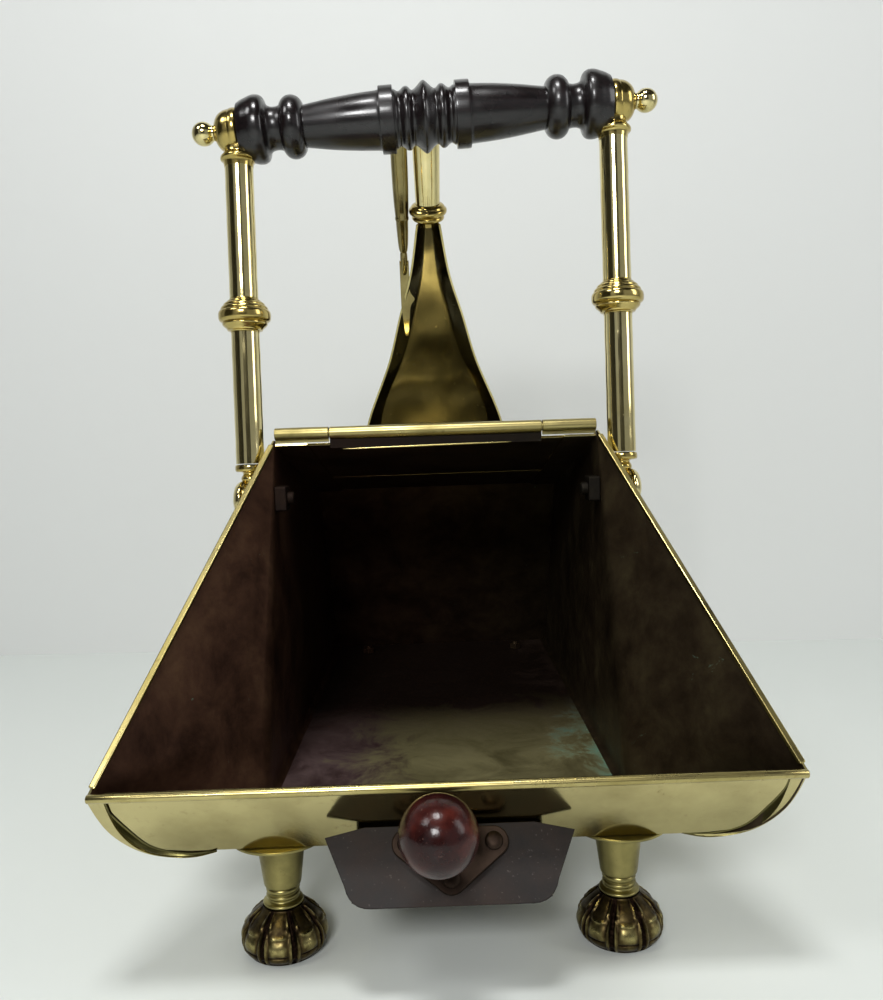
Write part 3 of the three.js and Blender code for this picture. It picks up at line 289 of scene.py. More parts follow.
# The front edge of the right side, in the plane of the apron, as (x, z) in mm. It falls
# steeply from the lip and rolls under to meet the floor.
FRONT_EDGE = [
    (164.8, 103, 1), (164.6, 96), (164, 89), (162.8, 82), (160.8, 76.5), (158, 71.6),
    (154.6, 67.2), (150.4, 63.5), (145.3, 60.8), (138.5, 59), (131, 58), (123.5, 58.8),
    ((half_width(APRON_FOOT_Y, FLOOR_Z) - grown(APRON_FOOT_Y, ROLL_IN)) / MM, 62, 1)]
CORNER_ROWS, LIP_ROWS = 10, 5
ROLL_SHARE = 0.7                # part of the corner's rows that lie on the roll
CELLS_PER_ROW = 5
EDGE_CELLS = CELLS_PER_ROW * (CORNER_ROWS + LIP_ROWS)
APRON_LENGTH = math.hypot(APRON_FOOT_Y, LIP_Z - FLOOR_Z)
apron_run = Vector((0, APRON_FOOT_Y, FLOOR_Z - LIP_Z)).normalized()


def front_curve():
    """The front edge at even spaces, as (x, distance down the apron)."""
    points = [(x * MM, (z * MM - LIP_Z) / apron_run.z) for x, z, _ in softened(FRONT_EDGE, 3)]
    lengths = [0]
    for a, b in zip(points, points[1:]):
        lengths.append(lengths[-1] + math.dist(a, b))
    spaces = [lengths[-1] * i / EDGE_CELLS for i in range(EDGE_CELLS + 1)]
    across, down = zip(*points)
    return [Vector((between(s, lengths, across), between(s, lengths, down))) for s in spaces]


edge_curve = front_curve()
wall_levels = steps_between([
    (FLOOR_Z + ROLL_UP, 0), (LIP_Z, LIP_ROWS), (BACK_Z, 24), (TOP_Z, 9)])
SIDE_ROWS = CORNER_ROWS + len(wall_levels) - 1
FRONT_COLUMNS, REAR_COLUMNS = 18, 36


def front_y(z):
    """Where the front edge of the sides stands, below the lip and above it."""
    if z <= LIP_Z:
        return min(APRON_FOOT_Y, APRON_FOOT_Y * (LIP_Z - z) / (LIP_Z - FLOOR_Z))
    return HINGE_Y * (z - LIP_Z) / (TOP_Z - LIP_Z)


def side_point(y, row, wall_z):
    """A point (x, z) of the side: on the roll below, on the flat wall above."""
    if row >= CORNER_ROWS:
        return half_width(y, wall_z), wall_z
    share = row / CORNER_ROWS
    size = grown(y, ROLL_UP)
    if share > ROLL_SHARE:
        z = FLOOR_Z + size + (ROLL_UP - size) * (share - ROLL_SHARE) / (1 - ROLL_SHARE)
        return half_width(y, z), z
    return roll(y, share / ROLL_SHARE)


def side_place(sign):
    def place(u, v):
        row = round(v * SIDE_ROWS)
        z = wall_levels[max(0, row - CORNER_ROWS)]
        if row < CORNER_ROWS:
            z = FLOOR_Z + ROLL_UP * (row / CORNER_ROWS) ** 2
        front = front_y(z)
        if z <= BACK_Z:
            rear = BACK_FOOT_Y + (BACK_Y - BACK_FOOT_Y) * (z - FLOOR_Z) / (BACK_Z - FLOOR_Z)
        else:
            rear = BACK_Y + (HINGE_Y - BACK_Y) * (z - BACK_Z) / (TOP_Z - BACK_Z)
        middle = HINGE_Y - (TOP_Z - z) * fold.x / fold.y
        middle = min(max(middle, front), rear)
        column = round(u * (FRONT_COLUMNS + REAR_COLUMNS))
        if column <= FRONT_COLUMNS:
            y = front + (middle - front) * column / FRONT_COLUMNS
        else:
            y = middle + (rear - middle) * (column - FRONT_COLUMNS) / REAR_COLUMNS
        x, height = side_point(y, row, z)
        point = Vector((x, y, height))
        if row < CORNER_ROWS + LIP_ROWS and column < FRONT_COLUMNS:
            on_edge = edge_curve[EDGE_CELLS - CELLS_PER_ROW * row]
            x, height = side_point(front, row, z)
            drawn = Vector((on_edge.x, 0, LIP_Z)) + apron_run * on_edge.y
            drawn -= Vector((x, front, height))
            point += drawn * (1 - column / FRONT_COLUMNS) ** 2
        return Vector((sign * point.x, point.y + LIP_Y, point.z))
    return (lambda u, v: place(1 - u, v)) if sign < 0 else place


SIDES = (("left", -1), ("right", 1))
for side, sign in SIDES:
    sheet(f"side_sheet_{side}", FRONT_COLUMNS + REAR_COLUMNS, SIDE_ROWS,
          side_place(sign), [sheet_brass, inside_tarnish], "scuttle_body",
          [f"side_shell_{side}"], swell=0.35)

# ---------------------------------------------------------------- floor, apron, back, top
# Flat sheets let in between the sides. The floor is tarnished by coal, with a khaki pool of
# painted light in its middle and painted shade towards the back, and the apron under the lip is
# the brightest sheet of the scuttle.

GAP = 1.2 * MM          # sheets reach this far inside the outer face of the sides


def floor_finish():
    """Brass rubbed by coal, with painted light on it: a khaki pool of painted light in the middle,
    mauve on the left outside it, painted shade darkening it to black towards the back, and a crust
    of verdigris 15 mm wide where the floor meets the right side."""
    material, tree, shader = new_finish("coal_rubbed_floor_with_painted_light")
    place = node(tree, "TexCoord").outputs["Object"]
    spot = node(tree, "SeparateXYZ", {"Vector": place})
    cloud = node(tree, "TexNoise", {
        "Vector": place, "Scale": 26, "Detail": 10, "Roughness": 0.7, "Distortion": 0.5})
    # The khaki is the colour of the pool of painted light that falls in through the mouth.
    khaki = node(tree, "ValToRGB", {"Fac": cloud.outputs["Fac"]},
                 [(0.3, "#6A6340"), (0.7, "#A79F72")])
    mauve = node(tree, "ValToRGB", {"Fac": cloud.outputs["Fac"]},
                 [(0.35, "#4A3532"), (0.7, "#8D7674")])
    ragged = node(tree, "MapRange", {
        **SPREAD, "Value": cloud.outputs["Fac"], "To Min": -0.035, "To Max": 0.035})
    x = node(tree, "Math", {0: spot.outputs["X"], 1: ragged.outputs["Result"]}, operation="ADD")
    y = node(tree, "Math", {0: spot.outputs["Y"], 1: ragged.outputs["Result"]}, operation="ADD")
    # The left edge of the painted light, where the left side's shadow falls: mauve floor beyond
    # it.
    into_painted_light = node(tree, "MapRange", {
        "Value": x.outputs["Value"], "From Min": -0.06, "From Max": -0.025})
    front = node(tree, "Mix", {
        0: into_painted_light.outputs["Result"], 6: mauve.outputs["Color"], 7: khaki.outputs["Color"]},
        data_type="RGBA")
    to_side = node(tree, "MapRange", {
        "Value": x.outputs["Value"], "From Min": 0.075, "From Max": 0.1, "To Max": 0.75})
    crusted = node(tree, "Mix", {
        0: to_side.outputs["Result"], 6: front.outputs[2], 7: linear("#4F8474")},
        data_type="RGBA")
    # Painted shade: the floor darkens to black towards the back, behind the painted pool of light.
    into_painted_shade = node(tree, "MapRange", {
        "Value": y.outputs["Value"], "From Min": -0.06, "From Max": 0.05})
    colour = node(tree, "Mix", {
        0: into_painted_shade.outputs["Result"], 6: crusted.outputs[2], 7: linear("#33261F")},
        data_type="RGBA")
    rough = node(tree, "MapRange", {
        **SPREAD, "Value": cloud.outputs["Fac"], "To Min": 0.34, "To Max": 0.55})
    bare = node(tree, "MapRange", {
        "Value": to_side.outputs["Result"], "To Min": 0.7, "To Max": 0.1})
    bump = node(tree, "Bump", {
        "Height": cloud.outputs["Fac"], "Distance": 0.003, "Strength": 0.3})
    dress(tree, shader, colour.outputs[2], rough.outputs["Result"], bump)
    tree.links.new(bare.outputs["Result"], shader["Metallic"])
    return material


floor_tarnish_and_painted_light = floor_finish()
floor_under = brass("brass_underside", "#988A55", "#BCAE74", 0.3)
apron_brass = brass("polished_apron_brass", "#A99C69", "#C8BB84", 0.14)


def floor_place(u, v):
    front = APRON_FOOT_Y + MM
    y = front + (BACK_FOOT_Y - 1.5 * MM - front) * v
    half = half_width(y, FLOOR_Z) - grown(y, ROLL_IN) + 0.6 * MM
    return Vector((half * (1 - 2 * u), y + LIP_Y, FLOOR_Z))


sheet("floor_sheet", 30, 60, floor_place, [floor_under, floor_tarnish_and_painted_light], "scuttle_body",
      ["floor_panel"])


# Across the front edge of each side: a flat band, then a rolled channel painted dark as shade,
# then the end of the apron. Widths in mm at shares of the way from the lip round to the floor.
EDGE_SHARES = [0, 0.14, 0.24, 0.35, 0.46, 0.57, 0.68, 0.8, 0.9, 1]
BAND_WIDTHS = [7.5, 6.4, 5.6, 4.4, 2.6, 1, 0.4, 0.3, 0.3, 0.2]
CHANNEL_WIDTHS = [0.3, 0.3, 2.6, 4.8, 5.8, 5.8, 4.8, 3.4, 2, 0.2]


def inset_curve(widths):
    """The edge curve moved in by widths in mm, towards the middle of the apron."""
    inset = []
    shares, eased_widths, _ = zip(*softened(list(zip(EDGE_SHARES, widths)), 3))
    for i, point in enumerate(edge_curve):
        along = edge_curve[min(i + 1, EDGE_CELLS)] - edge_curve[max(i - 1, 0)]
        inward = Vector((-along.y, along.x)).normalized()
        inset.append(point + inward * between(i / EDGE_CELLS, shares, eased_widths) * MM)
    return inset


def on_apron(x, down, ahead=0.0):
    """A place on the apron's plane, down it from the lip, and ahead of it."""
    return (Vector((x, LIP_Y, LIP_Z)) + apron_run * down
            + Vector((0, apron_run.z, -apron_run.y)) * ahead)


band_curve = inset_curve(BAND_WIDTHS)
apron_curve = inset_curve([a + b for a, b in zip(BAND_WIDTHS, CHANNEL_WIDTHS)])
end_points = sorted(((p.y, p.x) for p in apron_curve if p.x > 40 * MM))


def apron_place(u, v):
    down = APRON_LENGTH * (1 - v)
    end = between(down, [p[0] for p in end_points], [p[1] for p in end_points])
    return on_apron(end * (2 * u - 1), down)


sheet("apron_sheet", 90, 24, apron_place, [apron_brass, inside_tarnish], "scuttle_body",
      ["front_apron"], swell=0.6)


def strip_place(sign, outer, inner, depth):
    """A strip between two curves. depth(v) is how far it sinks behind the apron."""
    def place(u, v):
        i = round((u if sign > 0 else 1 - u) * EDGE_CELLS)
        point = outer[i].lerp(inner[i], v)
        width = (outer[i] - inner[i]).length
        return on_apron(sign * point.x, point.y, 0.3 * MM - depth(v) * width)
    return place


# The channel's dark brass is painted shade.
painted_shade_channel_brass = brass("shadowed_corner_brass", "#3E3A24", "#6E683F", 0.3)
for side, sign in SIDES:
    flip = -1 if sign > 0 else 1
    sheet(f"edge_band_{side}", EDGE_CELLS, 3,
          strip_place(sign, edge_curve, band_curve, lambda v: 0),
          [apron_brass], "scuttle_body", thick=0.9 * MM * flip, swell=0.1)
    sheet(f"edge_channel_{side}", EDGE_CELLS, 8,
          strip_place(sign, band_curve, apron_curve, lambda v: 0.7 * math.sin(math.pi * v)),
          [painted_shade_channel_brass], "scuttle_body", thick=0.8 * MM * flip, swell=0.1)


def back_place(u, v):
    y = BACK_FOOT_Y + (BACK_Y - BACK_FOOT_Y) * v
    z = FLOOR_Z + (BACK_Z - FLOOR_Z) * v
    return Vector(((half_width(y, z) - GAP) * (1 - 2 * u), y + LIP_Y, z))


sheet("back_sheet", 30, 28, back_place, [sheet_brass, inside_tarnish], "scuttle_body",
      ["back_panel"])

top_run = Vector((BACK_Y - HINGE_Y, BACK_Z - TOP_Z))
top_length = top_run.length
top_run.normalize()


def top_point(x, along):
    """A point on the sloping top, a distance back from its front edge."""
    return Vector((x, HINGE_Y + top_run.x * along + LIP_Y, TOP_Z + top_run.y * along))


def top_place(start, end, half):
    return lambda u, v: top_point(half * (2 * u - 1), start + (end - start) * v)


TOP_FIXED_FROM = 135.6 * MM
FIXED_HALF = 99.2 * MM
sheet("top_rear_sheet", 24, 10, top_place(TOP_FIXED_FROM, top_length - 2.1 * MM, FIXED_HALF),
      [sheet_brass, inside_tarnish], "scuttle_body", ["top_rear_panel"])


def flange_place(sign):
    inner, outer = 79.5 * MM, 99.4 * MM
    drop = Vector((0, top_run.y, -top_run.x)) * 1.8 * MM

    def place(u, v):
        share = u if sign > 0 else 1 - u
        x = sign * (inner + (outer - inner) * share)
        return top_point(x, 0.5 * MM + (top_length - 5 * MM) * v) + drop
    return place


for side, sign in SIDES:
    sheet(f"top_flange_{side}", 4, 30, flange_place(sign), [sheet_brass, inside_tarnish],
          "scuttle_body")

# ---------------------------------------------------------------- lip, bindings, hinge
# A wire rolled into the lip, brass strips on the two sloping edges of the mouth, and a long hinge
# barrel. The wire is bright; the hinge is duller.

edge_brass = brass("rubbed_edge_brass", "#93864F", "#BFB178", 0.25)
hinge_brass = brass("dulled_hinge_brass", "#857A4C", "#ADA06B", 0.32, "#4A3B20", 0.7)


def turned(name, profile, place, materials, body, nodes=(), steps=64, rounds=2, shape=None):
    """A piece turned on a lathe, from (radius, distance) in mm along its local Z."""
    mesh = bmesh.new()
    verts = [mesh.verts.new((r * MM, 0, d * MM)) for r, d, _ in softened(profile, rounds)]
    edges = [mesh.edges.new(pair) for pair in zip(verts, verts[1:])]
    bmesh.ops.spin(mesh, geom=verts + edges, cent=(0, 0, 0), axis=(0, 0, 1),
                   angle=2 * math.pi, steps=steps, use_merge=True)
    bmesh.ops.remove_doubles(mesh, verts=mesh.verts, dist=1e-6)
    if shape:
        shape(mesh)
    bmesh.ops.recalc_face_normals(mesh, faces=mesh.faces)
    bmesh.ops.transform(mesh, matrix=place, verts=mesh.verts)
    return finished(name, mesh, materials, body, nodes)


def moved(x, y, z):
    """A move in mm."""
    return Matrix.Translation((x * MM, y * MM, z * MM))


def at(x, y, z):
    """A place in mm: y from the lip, z from the table."""
    return Matrix.Translation((x * MM, y * MM + LIP_Y, z * MM))


def rotated(degrees, axis):
    return Matrix.Rotation(math.radians(degrees), 4, axis)


ALONG_X = rotated(90, "Y")

lip_profile = [(0, -163.8), (1.6, -163.8), (2.3, -162.8), (2.3, 162.8), (1.6, 163.8), (0, 163.8)]
turned("lip_wire", lip_profile, at(0, -2.7, 103) @ ALONG_X, [edge_brass], "scuttle_body",
       ["lip_bead"], 24)


def eased(name, material, width=0.4, segments=3):
    """A CAD node that keeps its shape, with its edges eased and its finish on."""
    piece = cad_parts[name]
    piece.data.materials.clear()
    piece.data.materials.append(material)
    piece.modifiers.new("joined", "WELD").merge_threshold = 1e-5
    ease_edges(piece, width, 35, segments)


for side in ("left", "right"):
    eased(f"mouth_binding_{side}", edge_brass, 0.6)

HINGE = at(0, 155, 265.9) @ ALONG_X
BARREL = 3.9


def barrel(x0, x1):
    return [(0, x0, 1), (BARREL - 0.4, x0, 1), (BARREL, x0 + 0.4), (BARREL, x1 - 0.4),
            (BARREL - 0.4, x1, 1), (0, x1, 1)]


turned("hinge_barrel_left", barrel(-99.2, -66.1), HINGE, [hinge_brass], "scuttle_body",
       ["hinge_knuckle_left"], 32, 1)
turned("hinge_barrel_right", barrel(66.1, 99.2), HINGE, [hinge_brass], "scuttle_body",
       ["hinge_knuckle_right"], 32, 1)
turned("hinge_barrel_lid", barrel(-65.5, 65.5), HINGE, [hinge_brass], "lid",
       ["lid_knuckle"], 32, 1)
turned("hinge_pin_ends", [(0, -99.2, 1), (1.9, -99.2, 1), (1.9, 99.2, 1), (0, 99.2, 1)], HINGE,
       [hinge_brass], "scuttle_body", ["hinge_pin"], 24, 0)


def upright_place(x0, x1, z0, z1):
    """A strip that stands across the front edge of the top."""
    y = HINGE_Y + LIP_Y
    return lambda u, v: Vector(((x0 + (x1 - x0) * u) * MM, y, (z0 + (z1 - z0) * v) * MM))


leaf_tarnish = tarnished(
    "sooted_leaf_brass", "#120D0B", "#1C1612", "#2A221B", "#3A4A40", 0.6)
sheet("hinge_leaf", 60, 4, upright_place(-65.5, 65.5, 256.4, 265.9), [leaf_tarnish], "lid",
      swell=0.5)
# A thin strip of bright brass along the leaf's lower edge: a painted highlight.
turned("leaf_edge_painted_highlight", [(0, -58, 1), (0.5, -57), (0.7, 0), (0.5, 46), (0, 47, 1)],
       at(0, 154.9, 256.3) @ rotated(-0.6, "Y") @ ALONG_X,
       [edge_brass], "lid", (), 12)
for side, x0, x1 in (("left", -99.2, -66.1), ("right", 66.1, 99.2)):
    sheet(f"hinge_tab_{side}", 12, 3, upright_place(x0, x1, 260.5, 265.9), [hinge_brass],
          "scuttle_body")

# ---------------------------------------------------------------- lid
# The front part of the top, hung from the barrel, with a rolled rear edge to lift it by.

LID_HALF, LID_NOTCH, LID_LENGTH = 94 * MM, 11 * MM, 133 * MM
sheet("lid_sheet", 36, 24, top_place(LID_NOTCH, LID_LENGTH + 2 * MM, LID_HALF),
      [sheet_brass, inside_tarnish], "lid", ["lid_panel"])
sheet("lid_tongue", 30, 3, top_place(2.4 * MM, LID_NOTCH + 0.4 * MM, 65.5 * MM),
      [sheet_brass, inside_tarnish], "lid")
lid_edge = top_point(0, LID_LENGTH)
turned("lid_rolled_edge", [(0, -94, 1), (1.7, -94), (2.2, -93), (2.2, 93), (1.7, 94), (0, 94, 1)],
       Matrix.Translation(lid_edge + Vector((0, 0, 1.6 * MM))) @ ALONG_X, [edge_brass], "lid",
       (), 20)

# ---------------------------------------------------------------- feet
# Cast brass feet, each a turned cup with rings over a lobed ball of eight petals with double
# borders. The petals are polished bright and the recesses darken brown by depth, as patina
# together with painted shade.

cup_brass = brass("turned_foot_brass", "#6E6540", "#A0965F", 0.3, "#3E351E", 0.75)


def cast_foot_finish():
    """Cast brass, rubbed bright on the petals and brown in the cuts by how deep it is: patina
    together with painted shade in the recesses.
    """
    material, tree, shader = new_finish("cast_foot_brass")
    depth = node(tree, "Attribute", attribute_name="cut_depth").outputs["Fac"]
    place = node(tree, "TexCoord").outputs["Object"]
    grain = node(tree, "TexNoise", {"Vector": place, "Scale": 260, "Detail": 6})
    uneven = node(tree, "MapRange", {
        **SPREAD, "Value": grain.outputs["Fac"], "To Min": -0.16, "To Max": 0.16})
    worn = node(tree, "Math", {0: depth, 1: uneven.outputs["Result"]}, operation="ADD")
    # The darkening with depth is patina together with painted shade in the recesses.
    tone = node(tree, "ValToRGB", {"Fac": worn.outputs["Value"]},
                [(0.1, "#9C915F"), (0.8, "#1E150F"), (0.42, "#574B2E")])
    rough = node(tree, "MapRange", {"Value": worn.outputs["Value"], "To Min": 0.22, "To Max": 0.6})
    bump = node(tree, "Bump", {
        "Height": grain.outputs["Fac"], "Distance": 0.0003, "Strength": 0.4})
    dress(tree, shader, tone.outputs["Color"], rough.outputs["Result"], bump)
    shader["Metallic"].default_value = 1
    return material


foot_brass = cast_foot_finish()
PETALS = 8
DOME_TOP = 24


def bell(x, middle, width):
    return math.exp(-((x - middle) / width) ** 2)


# How far each feature of a petal stands out of the ball, in mm, or is cut into it.
BELLY, TOP_BEAD, WAIST_CUT, TOE = 1.3, 0.9, 0.8, 0.5
OUTER_BORDER, INNER_BORDER, VALLEY, RIDGE, DROP = 1.2, 0.9, 1.1, 0.8, 0.8


def carve_petals(mesh):
    """Pushes the turned ball in and out into petals, and notes how deep each point is."""
    depth = mesh.verts.layers.float.new("cut_depth")
    for vert in mesh.verts:
        radius = math.hypot(vert.co.x, vert.co.y)
        share = min(max(vert.co.z / (DOME_TOP * MM), 0), 1)
        if radius < 2 * MM or share < 0.02:
            vert[depth] = 0.8
            continue
        turn = math.atan2(vert.co.y, vert.co.x) * PETALS / (2 * math.pi)
        across = 2 * abs(turn - round(turn))
        wide = 0.84 - 0.3 * max(0, share - 0.45)
        reach = across / wide
        lobe = max(0, 1 - (reach / 0.78) ** 4)
        body = bell(share, 0.42, 0.22) if share < 0.62 else 0.35
        height = BELLY * lobe * body
        height += TOP_BEAD * bell(share, 0.63, 0.03) * lobe
        height -= WAIST_CUT * bell(share, 0.24, 0.02) * lobe
        height += TOE * lobe * bell(share, 0.13, 0.07)
        height += OUTER_BORDER * bell(reach, 0.98, 0.05)
        height += INNER_BORDER * bell(reach, 0.82, 0.045)
        height -= VALLEY * max(0, min(1, (reach - 1.04) / 0.06))
        height += RIDGE * bell(across, 1, 0.05) * (0.5 + 0.5 * math.cos(share * 70))
        height += DROP * bell(share, 0.16, 0.05) * bell(across, 0.95, 0.08)
        fade = min(1, share / 0.06, (1 - share) / 0.1)
        push = (height - OUTER_BORDER) * fade * MM
        vert.co.x += vert.co.x / radius * push
        vert.co.y += vert.co.y / radius * push
        vert[depth] = min(1, max(0, 0.8 - height * 0.5))


cup_profile = [
    (0, 24.3, 1), (9.8, 24.3, 1), (10.4, 24.9), (10.3, 25.9), (9.2, 26.5, 1), (8.1, 26.9),
    (8, 28), (8.7, 28.6), (8.6, 29.6), (7.9, 30.2, 1), (8, 31), (8.7, 31.6), (8.6, 32.8),
    (8.2, 33.4, 1), (9.2, 34, 1), (9.6, 34.9), (10.2, 40), (12.1, 55), (12.7, 57.6),
    (14.5, 60.2, 1), (25.2, 60.2, 1), (25.5, 60.5, 1), (25.5, 61.4, 1), (25.2, 61.7, 1),
    (0, 61.7, 1)]
dome_profile = [
    (0, 0, 1), (17.4, 0, 1), (19, 0.6), (21, 2.4), (22.4, 5.6), (22.4, 9.6), (21, 14),
    (18, 18.6), (13.6, 22.2), (11.2, 23.4), (10.6, 24, 1), (0, 24, 1)]

feet = {"front_left": (-87, 50), "front_right": (87, 50),
        "rear_left": (-68, 416), "rear_right": (68, 416)}
for place_name, (x, y) in feet.items():
    turned(f"foot_neck_{place_name}", cup_profile, at(x, y, 0), [cup_brass], "scuttle_body",
           [f"foot_cup_{place_name}"], 64)
    turned(f"foot_ball_{place_name}", dome_profile, at(x, y, 0), [foot_brass], "scuttle_body",
           [f"foot_dome_{place_name}"], 160, 3, carve_petals)
    eased(f"foot_stud_{place_name}", inside_tarnish, 0.3, 2)

# ---------------------------------------------------------------- bail pivots
# A bolt with a domed head holds each eye of the bail. It passes through a turned spacer
# and the side of the scuttle to a square nut inside.

post_brass = brass("polished_tube_brass", "#D0C184", "#EADCA6", 0.1)
PIVOT = at(0, 151, 226.6)


def mirrored(profile, sign):
    """A profile as it lies on the right side, or turned over for the left."""
    return [(r, sign * d, *c) for r, d, *c in profile]


end_profile = [(0, 88.2, 1), (3.3, 88.2), (4, 89.2), (4, 101, 1), (0, 101, 1)]
head_profile = [
    (0, 101.2, 1), (4, 101.2, 1), (4, 119.3, 1), (10.8, 119.3, 1), (11.3, 119.9),
    (11.2, 121), (9.6, 123.3), (5.6, 125), (2, 125.4), (0, 125.5, 1)]
spacer_profile = [(0, 101.3, 1), (6.8, 101.3, 1), (6.8, 103), (5.8, 105.5), (6.8, 112),
                  (6.8, 113.4, 1), (0, 113.4, 1)]
for side, sign in SIDES:
    turned(f"pivot_head_{side}", mirrored(head_profile, sign),
           PIVOT @ ALONG_X, [post_brass], "scuttle_body",
           [f"pivot_bolt_{side}"], 48)
    turned(f"pivot_sleeve_{side}", mirrored(spacer_profile, sign),
           PIVOT @ ALONG_X, [hinge_brass], "scuttle_body",
           [f"pivot_spacer_{side}"], 40)
    turned(f"pivot_end_{side}", mirrored(end_profile, sign),
           PIVOT @ ALONG_X, [leaf_tarnish], "scuttle_body", (), 32)
    eased(f"pivot_nut_{side}", leaf_tarnish, 0.9)

# ---------------------------------------------------------------- bail posts
# Each post is two lengths of brass tube with a turned knop between them, a collar and a
# flat eye at the foot, and a domed elbow at the head. All of it is bright from handling.

BAIL = PIVOT @ rotated(-2.5, "X")
POST_X, GRIP_UP, GRIP_TILT = 114.5, 229.5, 2.6
knop_brass = brass("turned_knop_brass", "#A8924F", "#D0BC78", 0.15)

eye_profile = [(0, -2.5, 1), (9.9, -2.5, 1), (10.5, -1.9), (10.5, 1.9), (9.9, 2.5, 1), (0, 2.5, 1)]
collar_profile = [
    (0, 8, 1), (4.4, 8), (4.8, 10.5), (5.8, 12), (5.8, 13.6), (4.4, 15.6), (5, 16.8),
    (8.6, 17), (9.3, 18), (9.3, 20.2), (8.8, 21.5), (0, 21.6, 1)]
knop_profile = [
    (0, -10.6, 1), (8.7, -10.6, 1), (8.7, -9.4), (10.6, -9, 1), (11, -8), (13.2, -6.2),
    (13.8, -5.2), (13.3, -4.3, 1), (14.4, -3.9), (15.6, -2.8), (15.9, -1), (15.9, 1),
    (15.4, 2.6), (14.2, 3.4, 1), (14.4, 4.2), (13.7, 5.4), (12.6, 5.9, 1), (12.6, 6.8),
    (11.6, 7.8), (10.4, 8.2, 1), (10.2, 9), (8.7, 9.6), (8.7, 10.6, 1), (0, 10.6, 1)]
elbow_ring = [
    (0, -22, 1), (8.7, -22, 1), (9.2, -18.5), (10.9, -17.8), (11, -16.2), (10.2, -15),
    (9, -14), (8.6, -12), (8.4, -6), (0, -4, 1)]
elbow_dome = [
    (0, -1.2, 1), (12.6, -1.2, 1), (13.5, -0.4), (13.7, 1.4), (13.4, 3.2), (12.9, 4, 1),
    (12.9, 4.8), (12.2, 8), (10, 11.2), (6.6, 13.2), (4.6, 13.7), (4.2, 14.4), (0, 14.4, 1)]


def tube_profile(low, high, radius=8.6):
    cells = 12
    walls = [(radius + 0.08 * math.sin(i * 2.1), low + (high - low) * i / cells)
             for i in range(cells + 1)]
    return [(0, low, 1), (radius, low, 1), *walls[1:-1], (radius, high, 1), (0, high, 1)]


grip_rise = POST_X * math.tan(math.radians(GRIP_TILT))
for side, sign in SIDES:
    post = BAIL @ moved(sign * POST_X, 0, 0)
    knop_z = 114.5 + sign * grip_rise * 0.4
    head_z = GRIP_UP + sign * grip_rise
    eye = post @ moved(sign * 2, 0, 0) @ ALONG_X
    turned(f"eye_{side}", eye_profile, eye, [knop_brass], "bail",
           [f"bail_eye_{side}"], 48)
    turned(f"eye_collar_{side}", collar_profile, post, [knop_brass], "bail")
    turned(f"lower_tube_{side}", tube_profile(21.9, knop_z - 9.5), post, [post_brass], "bail",
           [f"bail_lower_tube_{side}"], 64, 1)
    turned(f"knop_{side}", knop_profile, post @ moved(0, 0, knop_z),
           [knop_brass], "bail", [f"bail_knop_{side}"], 64)
    turned(f"upper_tube_{side}", tube_profile(knop_z + 9.5, head_z - 21.8), post, [post_brass],
           "bail", [f"bail_upper_tube_{side}"], 64, 1)
    head = post @ moved(0, 0, head_z)
    turned(f"elbow_collar_{side}", elbow_ring, head, [knop_brass], "bail")

# ---------------------------------------------------------------- grip
# Ebonised hardwood turned with bell ends, beads and a group of five rings, on a rod
# whose ends carry domed caps and small ball finials. The black has a blue gloss.


def ebonised_finish():
    """Black-dyed wood under polish: almost black, a thin grain along the grip, and a clear gloss
    that is slightly rubbed in patches."""
    material, tree, shader = new_finish("ebonised_wood")
    place = node(tree, "TexCoord").outputs["Object"]
    along = node(tree, "Mapping", {"Vector": place, "Scale": (0.06, 1, 1)})
    grain = node(tree, "TexNoise", {
        "Vector": along.outputs["Vector"], "Scale": 900, "Detail": 4, "Roughness": 0.6})
    tone = node(tree, "ValToRGB", {"Fac": grain.outputs["Fac"]},
                [(0.35, "#080607"), (0.75, "#1C1314")])
    wear = node(tree, "TexNoise", {"Vector": place, "Scale": 45, "Detail": 4})
    rough = node(tree, "MapRange", {
        **SPREAD, "Value": wear.outputs["Fac"], "To Min": 0.2, "To Max": 0.38})
    bump = node(tree, "Bump", {
        "Height": grain.outputs["Fac"], "Distance": 0.00012, "Strength": 0.5})
    dress(tree, shader, tone.outputs["Color"], rough.outputs["Result"], bump)
    shader["IOR"].default_value = 1.45
    shader["Coat Weight"].default_value = 0.3
    shader["Coat Roughness"].default_value = 0.12
    return material


GRIP = (BAIL @ moved(0, 0, GRIP_UP)
        @ rotated(-GRIP_TILT, "Y"))
half_grip = [
    (20.9, 0), (20.2, 1.4), (17, 4.6), (15.7, 6.4), (15.9, 7.6), (18, 9.4), (18.3, 10.8),
    (17.9, 12.2), (15.7, 14.6), (15.6, 16), (16.8, 17.4), (17, 18.6, 1), (19.5, 18.8, 1),
    (19.6, 19.4), (19.6, 26.6), (19.4, 27.2, 1), (17.4, 27.4, 1), (17, 28.4), (16.4, 40),
    (14.8, 56), (12.4, 72), (12.2, 73.4, 1), (14.4, 73.8), (17.2, 76), (18.6, 80), (17.8, 84),
    (15.4, 86.6), (13, 87.6, 1), (12.4, 89.4), (12.3, 92), (13, 94.6), (14.6, 96, 1),
    (18.2, 97), (19.7, 99.4), (19.9, 102), (19.6, 104.4), (18.4, 107.6), (17.6, 110),
    (16, 112.8, 1), (0, 112.8, 1)]
whole_grip = [(r, -d, *c) for r, d, *c in reversed(half_grip)] + half_grip[1:]
turned("grip", whole_grip, GRIP @ ALONG_X, [ebonised_finish()], "bail",
       ["bail_grip", "bail_rod"], 72)

